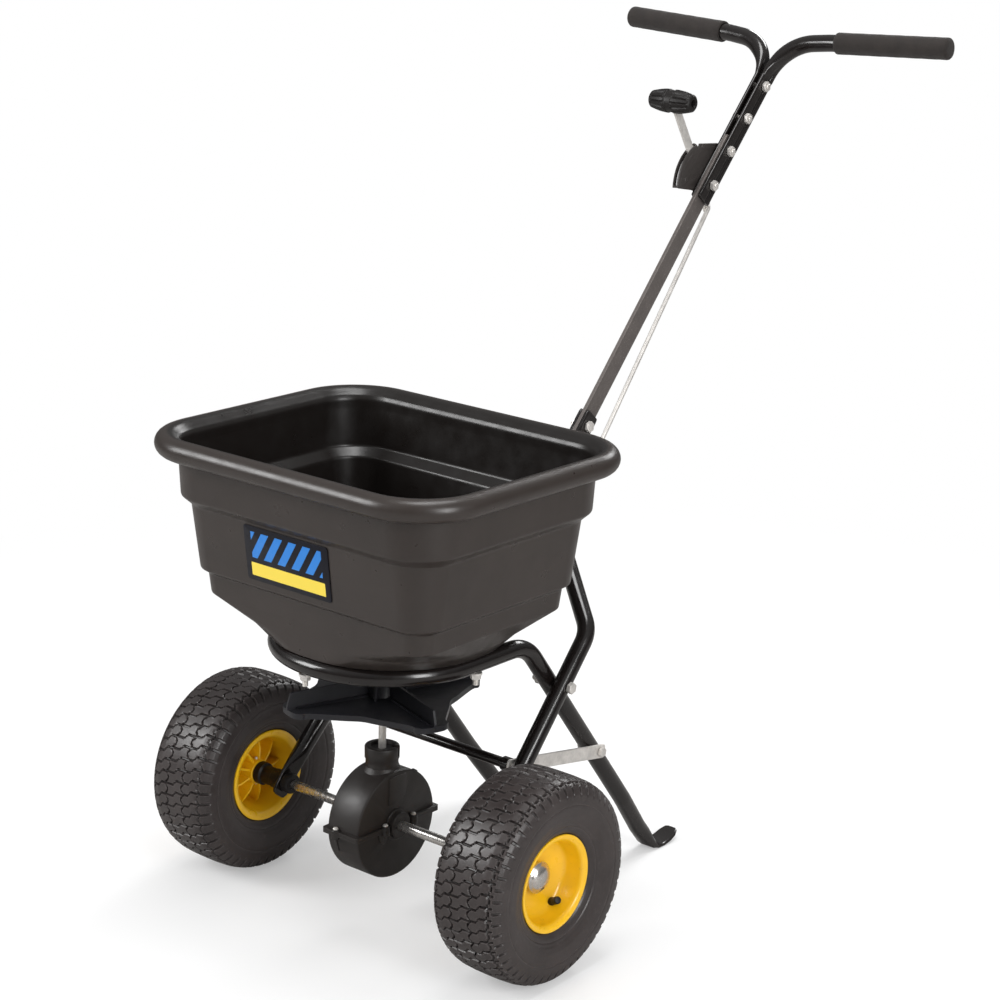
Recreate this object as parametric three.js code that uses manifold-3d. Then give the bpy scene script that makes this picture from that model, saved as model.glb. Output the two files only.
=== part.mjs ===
// Walk-behind broadcast spreader: a hopper on a bent-tube frame with two wheels.
// A crown gear on the axle turns a pinion on the upright shaft that spins the impeller.
// Millimetres. +Z is up, the handle is toward +Y, the hopper front is toward -Y.
// In names, right is +X and left is -X as seen from the front; for the person pushing they are swapped.
import * as THREE from 'three';
import { mergeVertices } from 'three/addons/utils/BufferGeometryUtils.js';
import Module from 'manifold-3d';

const wasm = await Module();
wasm.setup();

// Driving dimensions.
const WHEEL_R = 127;
const WHEEL_X = 238.6;
const AXLE_R = 6.35;
const AXLE_HALF = 250;
const GAP = 0.3;
const TUBE_R = 11.3;
const SIDE_R = 11.1;
const RING_R = 132.4;
const LEG_X = 132.6;
const FOOT_X = 127;
const CROSSING = [156, 301];
const BRACE = [75, 216];
const STRAP_BOLT = [250, 184];
const RING_Y = 4;
const RING_Z = 360;
const FRONT_BOLT_Y = -126.5;
const LEG_SLOPE = 1.26;
const LEG_TOP = 497.4;
const WALL = 3.5;
const HOPPER_Z = 372;
const SHAFT_R = 4.75;
const IMPELLER_Z = 293;
const CASE_R = 69.5;
const CASE_HALF = 25.5;
const CROWN_TEETH = 36;
const CROWN_R = 48;
const PINION_TEETH = 9;
const BOLT_R = 4;
const HOLE_R = 4.3;
const HANDLE_DIR = [0.657, 0.754];
const JOINT_BOLTS = [[631.1, 850.9], [666.5, 893.6], [702.4, 934.8], [741.9, 974.9]];
const BASE_BOLT = [378, 562];
const ROD_R = 3;
const ROD_X = -8;
const ROD_TOP = [648.6, 818.3];
const ROD_KNEE = [418, 515.5];
const ROD_FOOT = [239.5, 381];
const GATE_TRAVEL = 41.8;
const SHIFT_Y = -304.5;

const machine = new THREE.Group();
machine.position.y = SHIFT_Y;

const looks = {
  hopper: [0x423e3c, 0.55, 0.0],
  frame: [0x111112, 0.25, 0.3],
  post: [0x6a6664, 0.5, 0.4],
  foam: [0x1d1816, 0.95, 0.0],
  rim: [0xe1ac19, 0.35, 0.1],
  tyre: [0x3a3a3c, 0.9, 0.0],
  zinc: [0xc4beb4, 0.35, 0.9],
  casing: [0x2b2928, 0.6, 0.0],
  plastic: [0x151515, 0.5, 0.0],
  label: [0x16244f, 0.4, 0.0],
  gear: [0xd8d2c4, 0.5, 0.0],
};

function put(name, look, shape) {
  const geometry = shape.isBufferGeometry ? shape : toGeometry(shape);
  const [color, roughness, metalness] = looks[look];
  const mesh = new THREE.Mesh(geometry, new THREE.MeshStandardMaterial({ color, roughness, metalness }));
  mesh.name = name;
  machine.add(mesh);
  return mesh;
}

function toSolid(geometry) {
  const bare = geometry.clone();
  bare.deleteAttribute('normal');
  bare.deleteAttribute('uv');
  const merged = mergeVertices(bare, 1e-4);
  return new wasm.Manifold(new wasm.Mesh({
    numProp: 3,
    vertProperties: new Float32Array(merged.attributes.position.array),
    triVerts: new Uint32Array(merged.index.array),
  }));
}

function toGeometry(solid) {
  const mesh = solid.getMesh();
  const geometry = new THREE.BufferGeometry();
  const count = mesh.vertProperties.length / mesh.numProp;
  const positions = new Float32Array(count * 3);
  for (let i = 0; i < count; i += 1) {
    for (let k = 0; k < 3; k += 1) {
      positions[i * 3 + k] = mesh.vertProperties[i * mesh.numProp + k];
    }
  }
  geometry.setAttribute('position', new THREE.BufferAttribute(positions, 3));
  geometry.setIndex(Array.from(mesh.triVerts));
  geometry.computeVertexNormals();
  return geometry;
}

function join(...geometries) {
  return geometries
    .map((g) => (g.isBufferGeometry ? toSolid(g) : g))
    .reduce((whole, piece) => whole.add(piece));
}

function cut(geometry, ...cutters) {
  let solid = geometry.isBufferGeometry ? toSolid(geometry) : geometry;
  for (const cutter of cutters) {
    solid = solid.subtract(cutter.isBufferGeometry ? toSolid(cutter) : cutter);
  }
  return solid;
}

// Solid of revolution about X: profile entries are [x, radius].
function turnedX(profile, segments, closed = false) {
  const points = profile.map(([x, r]) => new THREE.Vector2(r, x));
  if (closed) {
    points.push(points[0].clone());
  }
  const geometry = new THREE.LatheGeometry(points, segments);
  geometry.rotateZ(-Math.PI / 2);
  return geometry;
}

// Solid of revolution about Z: profile entries are [radius, z].
function turnedZ(profile, segments, closed = false) {
  const points = profile.map(([r, z]) => new THREE.Vector2(r, z));
  if (closed) {
    points.push(points[0].clone());
  }
  const geometry = new THREE.LatheGeometry(points, segments);
  geometry.rotateX(Math.PI / 2);
  return geometry;
}

function rodX(x0, x1, radius, y, z, sides = 12) {
  const geometry = new THREE.CylinderGeometry(radius, radius, x1 - x0, sides);
  geometry.rotateZ(-Math.PI / 2);
  geometry.translate((x0 + x1) / 2, y, z);
  return geometry;
}

function rodZ(z0, z1, radius, x, y, sides = 12) {
  const geometry = new THREE.CylinderGeometry(radius, radius, z1 - z0, sides);
  geometry.rotateX(Math.PI / 2);
  geometry.translate(x, y, (z0 + z1) / 2);
  return geometry;
}

function rodBetween(a, b, radius, sides = 12) {
  const from = new THREE.Vector3(...a);
  const to = new THREE.Vector3(...b);
  const geometry = new THREE.CylinderGeometry(radius, radius, from.distanceTo(to), sides);
  const along = to.clone().sub(from).normalize();
  geometry.applyQuaternion(new THREE.Quaternion().setFromUnitVectors(new THREE.Vector3(0, 1, 0), along));
  const middle = from.add(to).multiplyScalar(0.5);
  geometry.translate(middle.x, middle.y, middle.z);
  return geometry;
}

// Plate lying in the YZ plane from x0 to x1; outline entries are [y, z], holes are [y, z, radius].
function plateX(outline, x0, x1, holes = []) {
  const shape = new THREE.Shape(outline.map(([y, z]) => new THREE.Vector2(y, z)));
  for (const [y, z, radius] of holes) {
    const hole = new THREE.Path();
    hole.absarc(y, z, radius, 0, Math.PI * 2, true);
    shape.holes.push(hole);
  }
  const options = { depth: x1 - x0, bevelEnabled: false, curveSegments: 6 };
  const geometry = new THREE.ExtrudeGeometry(shape, options);
  geometry.applyMatrix4(new THREE.Matrix4().set(0, 0, 1, x0, 1, 0, 0, 0, 0, 1, 0, 0, 0, 0, 0, 1));
  return geometry;
}

// Plate lying flat from z0 to z1; outline entries are [x, y], holes are [x, y, radius].
function plateZ(outline, z0, z1, holes = []) {
  const shape = new THREE.Shape(outline.map(([x, y]) => new THREE.Vector2(x, y)));
  for (const [x, y, radius] of holes) {
    const hole = new THREE.Path();
    hole.absarc(x, y, radius, 0, Math.PI * 2, true);
    shape.holes.push(hole);
  }
  const options = { depth: z1 - z0, bevelEnabled: false, curveSegments: 6 };
  const geometry = new THREE.ExtrudeGeometry(shape, options);
  geometry.translate(0, 0, z0);
  return geometry;
}

// Centre line through its stations, with tangents that split each bend evenly.
class CentreLine extends THREE.Curve {
  constructor(stations) {
    super();
    this.stations = stations;
  }

  getUtoTmapping(u) {
    return u;
  }

  getPoint(t, target = new THREE.Vector3()) {
    const last = this.stations.length - 1;
    const i = Math.min(Math.floor(t * last + 1e-9), last - 1);
    return target.copy(this.stations[i]).lerp(this.stations[i + 1], t * last - i);
  }

  getTangent(t, target = new THREE.Vector3()) {
    const last = this.stations.length - 1;
    const i = Math.round(t * last);
    const here = this.stations[i];
    target.set(0, 0, 0);
    if (i > 0) {
      target.add(here.clone().sub(this.stations[i - 1]).normalize());
    }
    if (i < last) {
      target.add(this.stations[i + 1].clone().sub(here).normalize());
    }
    return target.normalize();
  }
}

// Stations of a bent tube: corner entries are [x, y, z, bend radius, stations in the bend].
function bentStations(corners) {
  const spots = corners.map(([x, y, z]) => new THREE.Vector3(x, y, z));
  const stations = [spots[0]];
  for (let i = 1; i < spots.length - 1; i += 1) {
    const radius = corners[i][3];
    const count = corners[i][4];
    const back = spots[i - 1].clone().sub(spots[i]).normalize();
    const ahead = spots[i + 1].clone().sub(spots[i]).normalize();
    const half = Math.acos(THREE.MathUtils.clamp(back.dot(ahead), -1, 1)) / 2;
    const reach = radius / Math.tan(half);
    const start = spots[i].clone().addScaledVector(back, reach);
    const end = spots[i].clone().addScaledVector(ahead, reach);
    const inward = back.clone().add(ahead).normalize();
    const centre = spots[i].clone().add(inward.multiplyScalar(radius / Math.sin(half)));
    const a = start.clone().sub(centre);
    const b = end.clone().sub(centre);
    const sweep = Math.acos(THREE.MathUtils.clamp(a.dot(b) / (radius * radius), -1, 1));
    for (let k = 0; k < count; k += 1) {
      const f = k / (count - 1);
      const p = a.clone().multiplyScalar(Math.sin((1 - f) * sweep));
      p.addScaledVector(b, Math.sin(f * sweep)).divideScalar(Math.sin(sweep)).add(centre);
      stations.push(p);
    }
  }
  stations.push(spots[spots.length - 1]);
  return stations;
}

function tube(stations, radius, sides = 12) {
  const section = new THREE.Shape();
  for (let i = 0; i < sides; i += 1) {
    const angle = (i / sides) * Math.PI * 2;
    const x = radius * Math.cos(angle);
    const y = radius * Math.sin(angle);
    if (i === 0) {
      section.moveTo(x, y);
    } else {
      section.lineTo(x, y);
    }
  }
  return new THREE.ExtrudeGeometry(section, {
    steps: stations.length - 1,
    extrudePath: new CentreLine(stations),
    curveSegments: 1,
    bevelEnabled: false,
  });
}

// Round bar end pressed flat: from a circle at point a to a flat oval at point b, squeezed along X.
function swage(a, b, radius, thickness, width, sides = 12) {
  const from = new THREE.Vector3(...a);
  const to = new THREE.Vector3(...b);
  const along = new THREE.Vector3(0, to.y - from.y, to.z - from.z).normalize();
  const across = new THREE.Vector3(0, -along.z, along.y);
  const geometry = new THREE.CylinderGeometry(1, 1, 1, sides, 3);
  const position = geometry.attributes.position;
  for (let i = 0; i < position.count; i += 1) {
    const t = position.getY(i) + 0.5;
    const eased = t * t * (3 - 2 * t);
    const sx = THREE.MathUtils.lerp(radius, thickness / 2, eased);
    const sw = THREE.MathUtils.lerp(radius, width / 2, eased);
    const p = from.clone().lerp(to, t);
    p.addScaledVector(across, position.getZ(i) * sw);
    p.x += position.getX(i) * sx;
    position.setXYZ(i, p.x, p.y, p.z);
  }
  const whole = toSolid(geometry);
  return whole.volume() < 0 ? toSolid(flip(geometry)) : whole;
}

function flip(geometry) {
  const index = geometry.index.array;
  for (let i = 0; i < index.length; i += 3) {
    [index[i], index[i + 1]] = [index[i + 1], index[i]];
  }
  return geometry;
}

// Mirror a geometry across the middle plane of the machine.
function mirrorX(geometry) {
  const copy = toGeometry(geometry.isBufferGeometry ? toSolid(geometry) : geometry);
  copy.scale(-1, 1, 1);
  flip(copy);
  copy.computeVertexNormals();
  return copy;
}

// Wheels.

function tyreShape() {
  const outer = [[30, 126.6], [43, 123], [50, 108], [50.5, 94], [46, 76], [37, 62.3], [36.5, 53.4]];
  const inner = [[29, 53.4], [34, 74], [42, 98], [31, 118]];
  const right = [[0, 127], ...outer, ...inner];
  const left = right.slice(1).reverse().map(([x, r]) => [-x, r]);
  return turnedX([...right, ...left], 28, true);
}

function rimShape(pinned) {
  const bore = AXLE_R + GAP;
  const profile = [
    [-26, bore], [-26, 16], [1, 18], [4, 44], [-37, 47.8], [-40, 57], [-40, 60.8], [-37.4, 60.8],
    [-36.9, 52.4],
    [36.9, 52.4], [37.4, 60.8], [40, 60.8], [40, 57], [37, 48], [14, 45.5], [8, 30], [7.7, 19], [7.7, bore],
  ];
  const disc = turnedX(profile, 24, true);
  const webs = [];
  for (let i = 0; i < 9; i += 1) {
    const web = new THREE.BoxGeometry(26, 3, 32);
    web.translate(-9, 0, 31);
    web.rotateX((i / 9) * Math.PI * 2 + 0.17);
    webs.push(web);
  }
  const whole = join(disc, ...webs);
  return pinned ? cut(whole, rodZ(-30, 30, 2.3, -18, 0, 8)) : whole;
}

function hubCapShape() {
  const inner = [[14, 0], [13.2, 7.5], [8, 15.8]];
  const outer = [[8, 17.5], [10.5, 16.8], [13.6, 12], [15.4, 6], [15.9, 0]];
  return turnedX([...inner, ...outer], 16);
}

function valveShape() {
  const stem = rodBetween([10, 0, 50], [24.5, 0, 39], 3.4, 10);
  const cap = rodBetween([20, 0, 42.4], [26.5, 0, 37.5], 4.2, 10);
  const trim = turnedX([[14.8, 0], [14.8, 44.6], [60, 45.5], [60, 0]], 24);
  return join(stem, cap).intersect(toSolid(trim));
}

function addWheel(side, sign, pinned) {
  const face = (mesh) => {
    mesh.position.set(sign * WHEEL_X, 0, WHEEL_R);
    mesh.rotation.z = sign > 0 ? 0 : Math.PI;
  };
  face(put('tyre_' + side, 'tyre', tyreShape()));
  face(put('rim_' + side, 'rim', rimShape(pinned)));
  face(put('hub_cap_' + side, 'zinc', hubCapShape()));
  const valve = valveShape();
  const mesh = put('valve_' + side, 'plastic', valve);
  mesh.position.set(sign * WHEEL_X, 0, WHEEL_R);
  mesh.rotation.set(THREE.MathUtils.degToRad(-143), 0, sign > 0 ? 0 : Math.PI, 'XYZ');
}

addWheel('right', 1, false);
addWheel('left', -1, true);

const PIN_X = -(WHEEL_X - 18);
put('axle', 'zinc', cut(
  rodX(-AXLE_HALF, AXLE_HALF, AXLE_R, 0, WHEEL_R, 20),
  rodZ(WHEEL_R - 30, WHEEL_R + 30, 2.3, PIN_X, 0, 8),
));
put('wheel_pin', 'zinc', rodZ(WHEEL_R - 19, WHEEL_R + 19, 2, PIN_X, 0, 8));

function spacerShape() {
  const bore = AXLE_R + GAP;
  return turnedX([[171.2, bore], [171.2, 13], [185, 13], [186, 11], [212.2, 11], [212.2, bore]], 16, true);
}

function bushShape() {
  const bore = AXLE_R + GAP;
  const profile = [
    [153, bore], [153, 12.5], [154, 13], [164.4, 13], [164.4, 8.8], [170.8, 8.8], [170.8, bore],
  ];
  return turnedX(profile, 16, true);
}

for (const [side, sign] of [['right', 1], ['left', -1]]) {
  const spacer = put('wheel_spacer_' + side, 'plastic', spacerShape());
  const bush = put('axle_bush_' + side, 'plastic', bushShape());
  for (const mesh of [spacer, bush]) {
    mesh.position.z = WHEEL_R;
    mesh.rotation.z = sign > 0 ? 0 : Math.PI;
  }
}

// Gearbox: two half shells clamped at the height of the axle.

function caseShell() {
  const outside = turnedX([[-CASE_HALF, 0], [-CASE_HALF, CASE_R], [CASE_HALF, CASE_R], [CASE_HALF, 0]], 32);
  const boss = turnedX([[-34, 0], [-34, 16.5], [34, 16.5], [34, 0]], 20);
  const hollow = turnedX([[-22.3, 0], [-22.3, CASE_R - 3.5], [22.3, CASE_R - 3.5], [22.3, 0]], 32);
  const bore = turnedX([[-40, 0], [-40, AXLE_R + GAP], [40, AXLE_R + GAP], [40, 0]], 20);
  const shell = join(outside, boss);
  return { shell, hollow: toSolid(hollow), bore: toSolid(bore) };
}

const CASE_SCREWS = [[-8, -73.2], [29.2, -24], [29.2, 27], [-29.2, -24], [-29.2, 27], [8, 73.2]];

function flange(z0, z1) {
  const outline = [];
  for (const [x, y] of [[28.5, 75.5], [-28.5, 75.5], [-28.5, -75.5], [28.5, -75.5]]) {
    outline.push([x, y]);
  }
  return plateZ(outline, z0, z1);
}

function halfSpace(z0, z1) {
  const box = new THREE.BoxGeometry(120, 240, z1 - z0);
  box.translate(0, 0, (z0 + z1) / 2);
  return toSolid(box);
}

function screwHoles(z0, z1, radius) {
  return CASE_SCREWS.map(([x, y]) => rodZ(z0, z1, radius, x, y, 8));
}

function gearboxUpper() {
  const { shell, hollow, bore } = caseShell();
  const neck = turnedZ([[0, 60], [20, 60], [20, 96.5], [19, 97.5], [0, 97.5]], 24);
  const pads = CASE_SCREWS.map(([x, y]) => rodZ(-2, 5, 5.5, x, y, 10));
  let body = shell.add(toSolid(neck)).add(toSolid(flange(-1, 4)));
  for (const pad of pads) {
    body = body.add(toSolid(pad));
  }
  body = body.subtract(hollow).subtract(bore);
  body = cut(body, rodZ(90, 100, 15, 0, 0, 20), rodZ(50, 100, 9.3, 0, 0, 20), ...screwHoles(-10, 20, 2.3));
  return body.intersect(halfSpace(GAP / 2, 130));
}

function gearboxLower() {
  const { shell, hollow, bore } = caseShell();
  const pads = CASE_SCREWS.map(([x, y]) => rodZ(-9, 2, 5.5, x, y, 10));
  let body = shell.add(toSolid(flange(-4, 1)));
  for (const pad of pads) {
    body = body.add(toSolid(pad));
  }
  body = cut(body.subtract(hollow).subtract(bore), ...screwHoles(-7, 20, 2.3));
  return body.intersect(halfSpace(-130, -GAP / 2));
}

put('gearbox_upper', 'casing', gearboxUpper()).position.z = WHEEL_R;
put('gearbox_lower', 'casing', gearboxLower()).position.z = WHEEL_R;

CASE_SCREWS.slice(0, 4).forEach(([x, y], i) => {
  const head = rodZ(5.3, 8, 3.2, x, y, 10);
  const shank = rodZ(-6.5, 6, 2, x, y, 8);
  put('gearbox_screw_' + (i + 1), 'zinc', join(head, shank)).position.z = WHEEL_R;
});

// Crown gear on the axle: teeth face toward +X.
function crownGear() {
  const bore = AXLE_R + 0.05;
  const plate = turnedX([
    [-21.5, bore], [-21.5, 52], [-14.3, 52], [-14.3, 43], [-17, 41], [-17, 16], [-10, 16], [-10, bore],
  ], 32, true);
  const teeth = [];
  for (let i = 0; i < CROWN_TEETH; i += 1) {
    const tooth = new THREE.CylinderGeometry(1.1, 2.6, 5.2, 4, 1);
    tooth.rotateY(Math.PI / 4);
    tooth.scale(0.9, 1, 3);
    tooth.rotateZ(-Math.PI / 2);
    tooth.translate(-12.4, 0, CROWN_R);
    tooth.rotateX((i / CROWN_TEETH) * Math.PI * 2);
    teeth.push(tooth);
  }
  return join(plate, ...teeth);
}

put('drive_gear', 'gear', crownGear()).position.z = WHEEL_R;

// Pinion on the upright shaft, meshing with the crown gear's top teeth.
function pinionGear() {
  const shape = new THREE.Shape();
  const tip = 13.4;
  const root = 9.2;
  for (let i = 0; i < PINION_TEETH; i += 1) {
    const a = (i / PINION_TEETH) * Math.PI * 2;
    const spots = [[root, -0.16], [tip, -0.07], [tip, 0.07], [root, 0.16]];
    spots.forEach(([r, da], k) => {
      const x = r * Math.cos(a + da);
      const y = r * Math.sin(a + da);
      if (i === 0 && k === 0) {
        shape.moveTo(x, y);
      } else {
        shape.lineTo(x, y);
      }
    });
  }
  const hole = new THREE.Path();
  hole.absarc(0, 0, SHAFT_R + GAP, 0, Math.PI * 2, true);
  shape.holes.push(hole);
  const geometry = new THREE.ExtrudeGeometry(shape, { depth: 8, bevelEnabled: false, curveSegments: 10 });
  geometry.translate(0, 0, 171);
  return geometry;
}

put('pinion_gear', 'gear', pinionGear());

put('impeller_shaft', 'zinc', cut(
  rodZ(160, 400, SHAFT_R, 0, 0, 20),
  rodX(-30, 30, 1.8, 0, 335, 8),
));
put('neck_bush', 'plastic', turnedZ([
  [SHAFT_R + GAP, 196], [9, 196], [9, 218.2], [14.5, 218.2], [14.5, 221], [SHAFT_R + GAP, 221],
], 20, true));

// Impeller.

function starOutline(scale) {
  const outline = [];
  const corner = [[118, -23.5], [127, -19], [130, -10], [130, 10], [127, 19], [118, 23.5]];
  for (let k = 0; k < 4; k += 1) {
    const a = THREE.MathUtils.degToRad(-19 + 90 * k);
    for (const [u, v] of corner) {
      const x = u * Math.cos(a) - v * Math.sin(a);
      const y = u * Math.sin(a) + v * Math.cos(a);
      outline.push([x * scale, y * scale]);
    }
    const b = a + Math.PI / 4;
    outline.push([85 * scale * Math.cos(b), 85 * scale * Math.sin(b)]);
  }
  return outline;
}

function impellerShape() {
  const plate = cut(plateZ(starOutline(1), -7, 0), plateZ(starOutline(0.975), -9, -3));
  const hub = turnedZ([
    [0, -10], [14, -10], [14, -2], [21, -2], [21, 19], [25, 19], [25, 23], [10.5, 23], [10.5, 52], [0, 52],
  ], 24);
  const fins = [];
  for (let k = 0; k < 4; k += 1) {
    const fin = plateX([[15, -1], [15, 22], [118, 22], [136, 2], [131.5, -5], [126, -2]], -1.5, 1.5);
    fin.rotateZ(THREE.MathUtils.degToRad(-19 + 90 * k - 90));
    fins.push(fin);
  }
  const whole = join(plate, hub, ...fins);
  return cut(whole, rodZ(-20, 60, SHAFT_R + GAP, 0, 0, 20), rodX(-30, 30, 1.8, 0, 335 - IMPELLER_Z, 8));
}

put('impeller', 'plastic', impellerShape()).position.z = IMPELLER_Z;
put('impeller_pin', 'zinc', rodX(-14, 14, 1.5, 0, 335, 8));

// Agitator wire above the hopper floor, turned by the shaft's upper end.
function agitatorShape() {
  const collar = turnedZ([[SHAFT_R + GAP, 380], [8, 380], [8, 390], [SHAFT_R + GAP, 390]], 16, true);
  const arm = rodBetween([6.5, 0, 385], [42, 0, 392], 2, 8);
  const other = rodBetween([-6.5, 0, 385], [-42, 0, 392], 2, 8);
  return join(collar, arm, other);
}

put('agitator', 'zinc', agitatorShape());

// Frame: one tube bent into the hopper ring, the two legs and the feet.

function legPoint(y) {
  return [LEG_X, y, LEG_TOP - LEG_SLOPE * y];
}

function ringFrame() {
  const stations = [];
  const half = [];
  const foot = legPoint(372);
  foot[0] = FOOT_X;
  const corner = [LEG_X, (LEG_TOP - RING_Z) / LEG_SLOPE, RING_Z, 52, 6];
  const side = bentStations([foot, [...legPoint(320), 100, 2], corner, [RING_R, RING_Y, RING_Z]]);
  half.push(...side);
  stations.push(...half);
  const arc = 18;
  for (let i = 1; i < arc; i += 1) {
    const a = -(i / arc) * Math.PI;
    stations.push(new THREE.Vector3(RING_R * Math.cos(a), RING_Y + RING_R * Math.sin(a), RING_Z));
  }
  for (const p of [...half].reverse()) {
    stations.push(new THREE.Vector3(-p.x, p.y, p.z));
  }
  let body = toSolid(tube(stations, TUBE_R));
  for (const sign of [1, -1]) {
    const x = sign * FOOT_X;
    const shoe = plateX([
      [351, 40], [361, 28], [374, 14], [386, 4], [395, 0], [412, 0], [428, 4], [443, 9.5],
      [441, 13.5], [426, 8], [411, 4], [398, 4], [390, 10], [383, 20], [376, 31], [364, 40],
    ], x - 11.5, x + 11.5);
    body = body.add(toSolid(shoe));
  }
  const holes = [];
  for (const sign of [1, -1]) {
    const lo = sign > 0 ? 100 : -165;
    const hi = sign > 0 ? 165 : -100;
    holes.push(rodX(lo, hi, HOLE_R, ...CROSSING, 10));
    holes.push(rodX(lo, hi, HOLE_R, ...STRAP_BOLT, 10));
    holes.push(rodZ(340, 380, HOLE_R, sign * RING_R, 18, 10));
  }
  holes.push(rodZ(340, 380, HOLE_R, -9, FRONT_BOLT_Y, 10));
  return cut(body, ...holes);
}

put('ring_frame', 'frame', ringFrame());

// Side tube: flattened tab on the axle, straight run past the leg, then in and up to the post.
function sidePoint(y) {
  return [164.6 - 0.06 * y, y, 136.6 + 1.06 * y];
}

function flatStrip(start, end, width, nose) {
  const dy = end[0] - start[0];
  const dz = end[1] - start[1];
  const length = Math.hypot(dy, dz);
  const [ay, az] = [dy / length, dz / length];
  const [ny, nz] = [-az, ay];
  const h = width / 2;
  const outline = [
    [start[0] + ny * h, start[1] + nz * h], [start[0] - ny * h, start[1] - nz * h],
    [end[0] - ny * h, end[1] - nz * h],
  ];
  if (nose > 0) {
    outline.push([end[0] - ny * h * 0.5 + ay * nose, end[1] - nz * h * 0.5 + az * nose]);
    outline.push([end[0] + ny * h * 0.5 + ay * nose, end[1] + nz * h * 0.5 + az * nose]);
  }
  outline.push([end[0] + ny * h, end[1] + nz * h]);
  return outline;
}

function alongHandle(from, distance) {
  return [from[0] + HANDLE_DIR[0] * distance, from[1] + HANDLE_DIR[1] * distance];
}

function sideTube() {
  const low = sidePoint(26);
  const [topY, topZ] = alongHandle(BASE_BOLT, -48);
  const [turnY, turnZ] = alongHandle(BASE_BOLT, -122);
  const stations = bentStations([
    low, [...sidePoint(208), 44, 5], [15.5, turnY, turnZ, 38, 5], [14.3, topY, topZ],
  ]);
  const run = tube(stations, SIDE_R);
  const [flatY, flatZ] = [5, 135];
  const lowEnd = swage([low[0], low[1] + 2, low[2] + 2], [167.6, flatY, flatZ], SIDE_R + 0.3, 5.8, 27);
  const tab = plateX(flatStrip([12, 143.5], [-8, 118], 29, 5), 164.9, 170.3);
  const [endY, endZ] = alongHandle(BASE_BOLT, -18);
  const highEnd = swage([14.3, topY - 2, topZ - 2], [5.3, endY, endZ], SIDE_R + 0.3, 5.2, 26.4);
  const blade = plateX(flatStrip(alongHandle(BASE_BOLT, -22), alongHandle(BASE_BOLT, 12), 27, 6), 2.9, 7.7);
  const cheek = new THREE.BoxGeometry(40, 90, 90);
  cheek.translate(-17.1, topY, topZ + 20);
  const body = join(run, lowEnd, tab, highEnd, blade);
  const bushSeat = turnedX([[140, 0], [140, 13.4], [164.8, 13.4], [164.8, 9.1], [180, 9.1], [180, 0]], 20);
  return cut(
    body,
    cheek,
    bushSeat.translate(0, 0, WHEEL_R),
    rodX(-30, 30, HOLE_R, ...BASE_BOLT, 10),
    rodX(130, 190, HOLE_R, ...BRACE, 10),
    rodX(130, 190, HOLE_R, ...CROSSING, 10),
  );
}

const rightSide = sideTube();
put('side_tube_right', 'frame', rightSide);
put('side_tube_left', 'frame', mirrorX(rightSide));

put('cross_brace', 'frame', cut(
  rodX(-143.9, 143.9, 6.5, ...BRACE, 14),
  rodX(120, 150, HOLE_R, ...BRACE, 10),
  rodX(-150, -120, HOLE_R, ...BRACE, 10),
));

function boltX(headX, headH, headR, endX, y, z, nutX = null, nutH = 0, nutR = 0) {
  const dir = Math.sign(endX - headX);
  const at = (a, b, r, sides) => rodX(Math.min(a, b), Math.max(a, b), r, y, z, sides);
  const parts = [at(headX, headX - dir * headH, headR, 12), at(headX - dir, endX, BOLT_R, 10)];
  if (nutX !== null) {
    parts.push(at(nutX, nutX + dir * nutH, nutR, 6));
  }
  return join(...parts);
}

function ringBolt(x, y) {
  return join(rodZ(326, HOPPER_Z + 2.6, BOLT_R, x, y, 10), rodZ(338, 347.7, 7.5, x, y, 6));
}

function strapShape() {
  const outline = flatStrip([66, 217.3], [259, 182.5], 17.6, 0);
  return plateX(outline, 144.3, 147.3, [[...BRACE, HOLE_R], [...STRAP_BOLT, HOLE_R]]);
}

for (const [side, sign] of [['right', 1], ['left', -1]]) {
  const pick = (shape) => (sign > 0 ? shape : mirrorX(shape));
  put('strap_' + side, 'zinc', pick(strapShape()));
  put('brace_bolt_' + side, 'zinc', pick(boltX(171.6, 5, 7.5, 126, ...BRACE)));
  put('strap_bolt_' + side, 'zinc', pick(boltX(147.7, 5, 6, 112, ...STRAP_BOLT, 120.9, 6, 7)));
  put('crossing_bolt_' + side, 'zinc', pick(boltX(166.8, 6, 7, 110, ...CROSSING, 120.9, 6, 7)));
  put('ring_bolt_' + side, 'zinc', ringBolt(sign * RING_R, 18));
}
put('ring_bolt_front', 'zinc', ringBolt(-9, FRONT_BOLT_Y));

// Hopper: rounded-rectangle levels joined into one open tub with a rolled rim.

const LEVELS = [
  [144, 138, 134, 6, HOPPER_Z], [158, 136, 104, 3, 391], [176, 133.5, 25, 0, 414], [179, 136.5, 27, 0, 440],
  [189, 146, 37, 0, 446], [199.5, 156.5, 47.5, 0, 527], [212, 169, 60, 0, 538], [215, 172, 63, 0, 590],
];
const ROLL_R = 14;
const ROLL_Z = 601.5;
const OUTLINE_POINTS = 28;

function rimLevel(offset, z) {
  return [215 + offset, 172 + offset, 63 + offset, 0, z];
}

function inset([hx, hy, rc, yc, z], lift) {
  return [hx - WALL, hy - WALL, rc - WALL, yc, z + lift];
}

// Point number i of the rounded rectangle of one level.
function levelPoint([hx, hy, rc, yc, z], i) {
  const perCorner = OUTLINE_POINTS / 4;
  const quarter = Math.floor(i / perCorner) % 4;
  const a = (quarter + (i % perCorner) / (perCorner - 1)) * (Math.PI / 2);
  const sx = quarter === 0 || quarter === 3 ? 1 : -1;
  const sy = quarter < 2 ? 1 : -1;
  return [sx * (hx - rc) + rc * Math.cos(a), yc + sy * (hy - rc) + rc * Math.sin(a), z];
}

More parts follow.
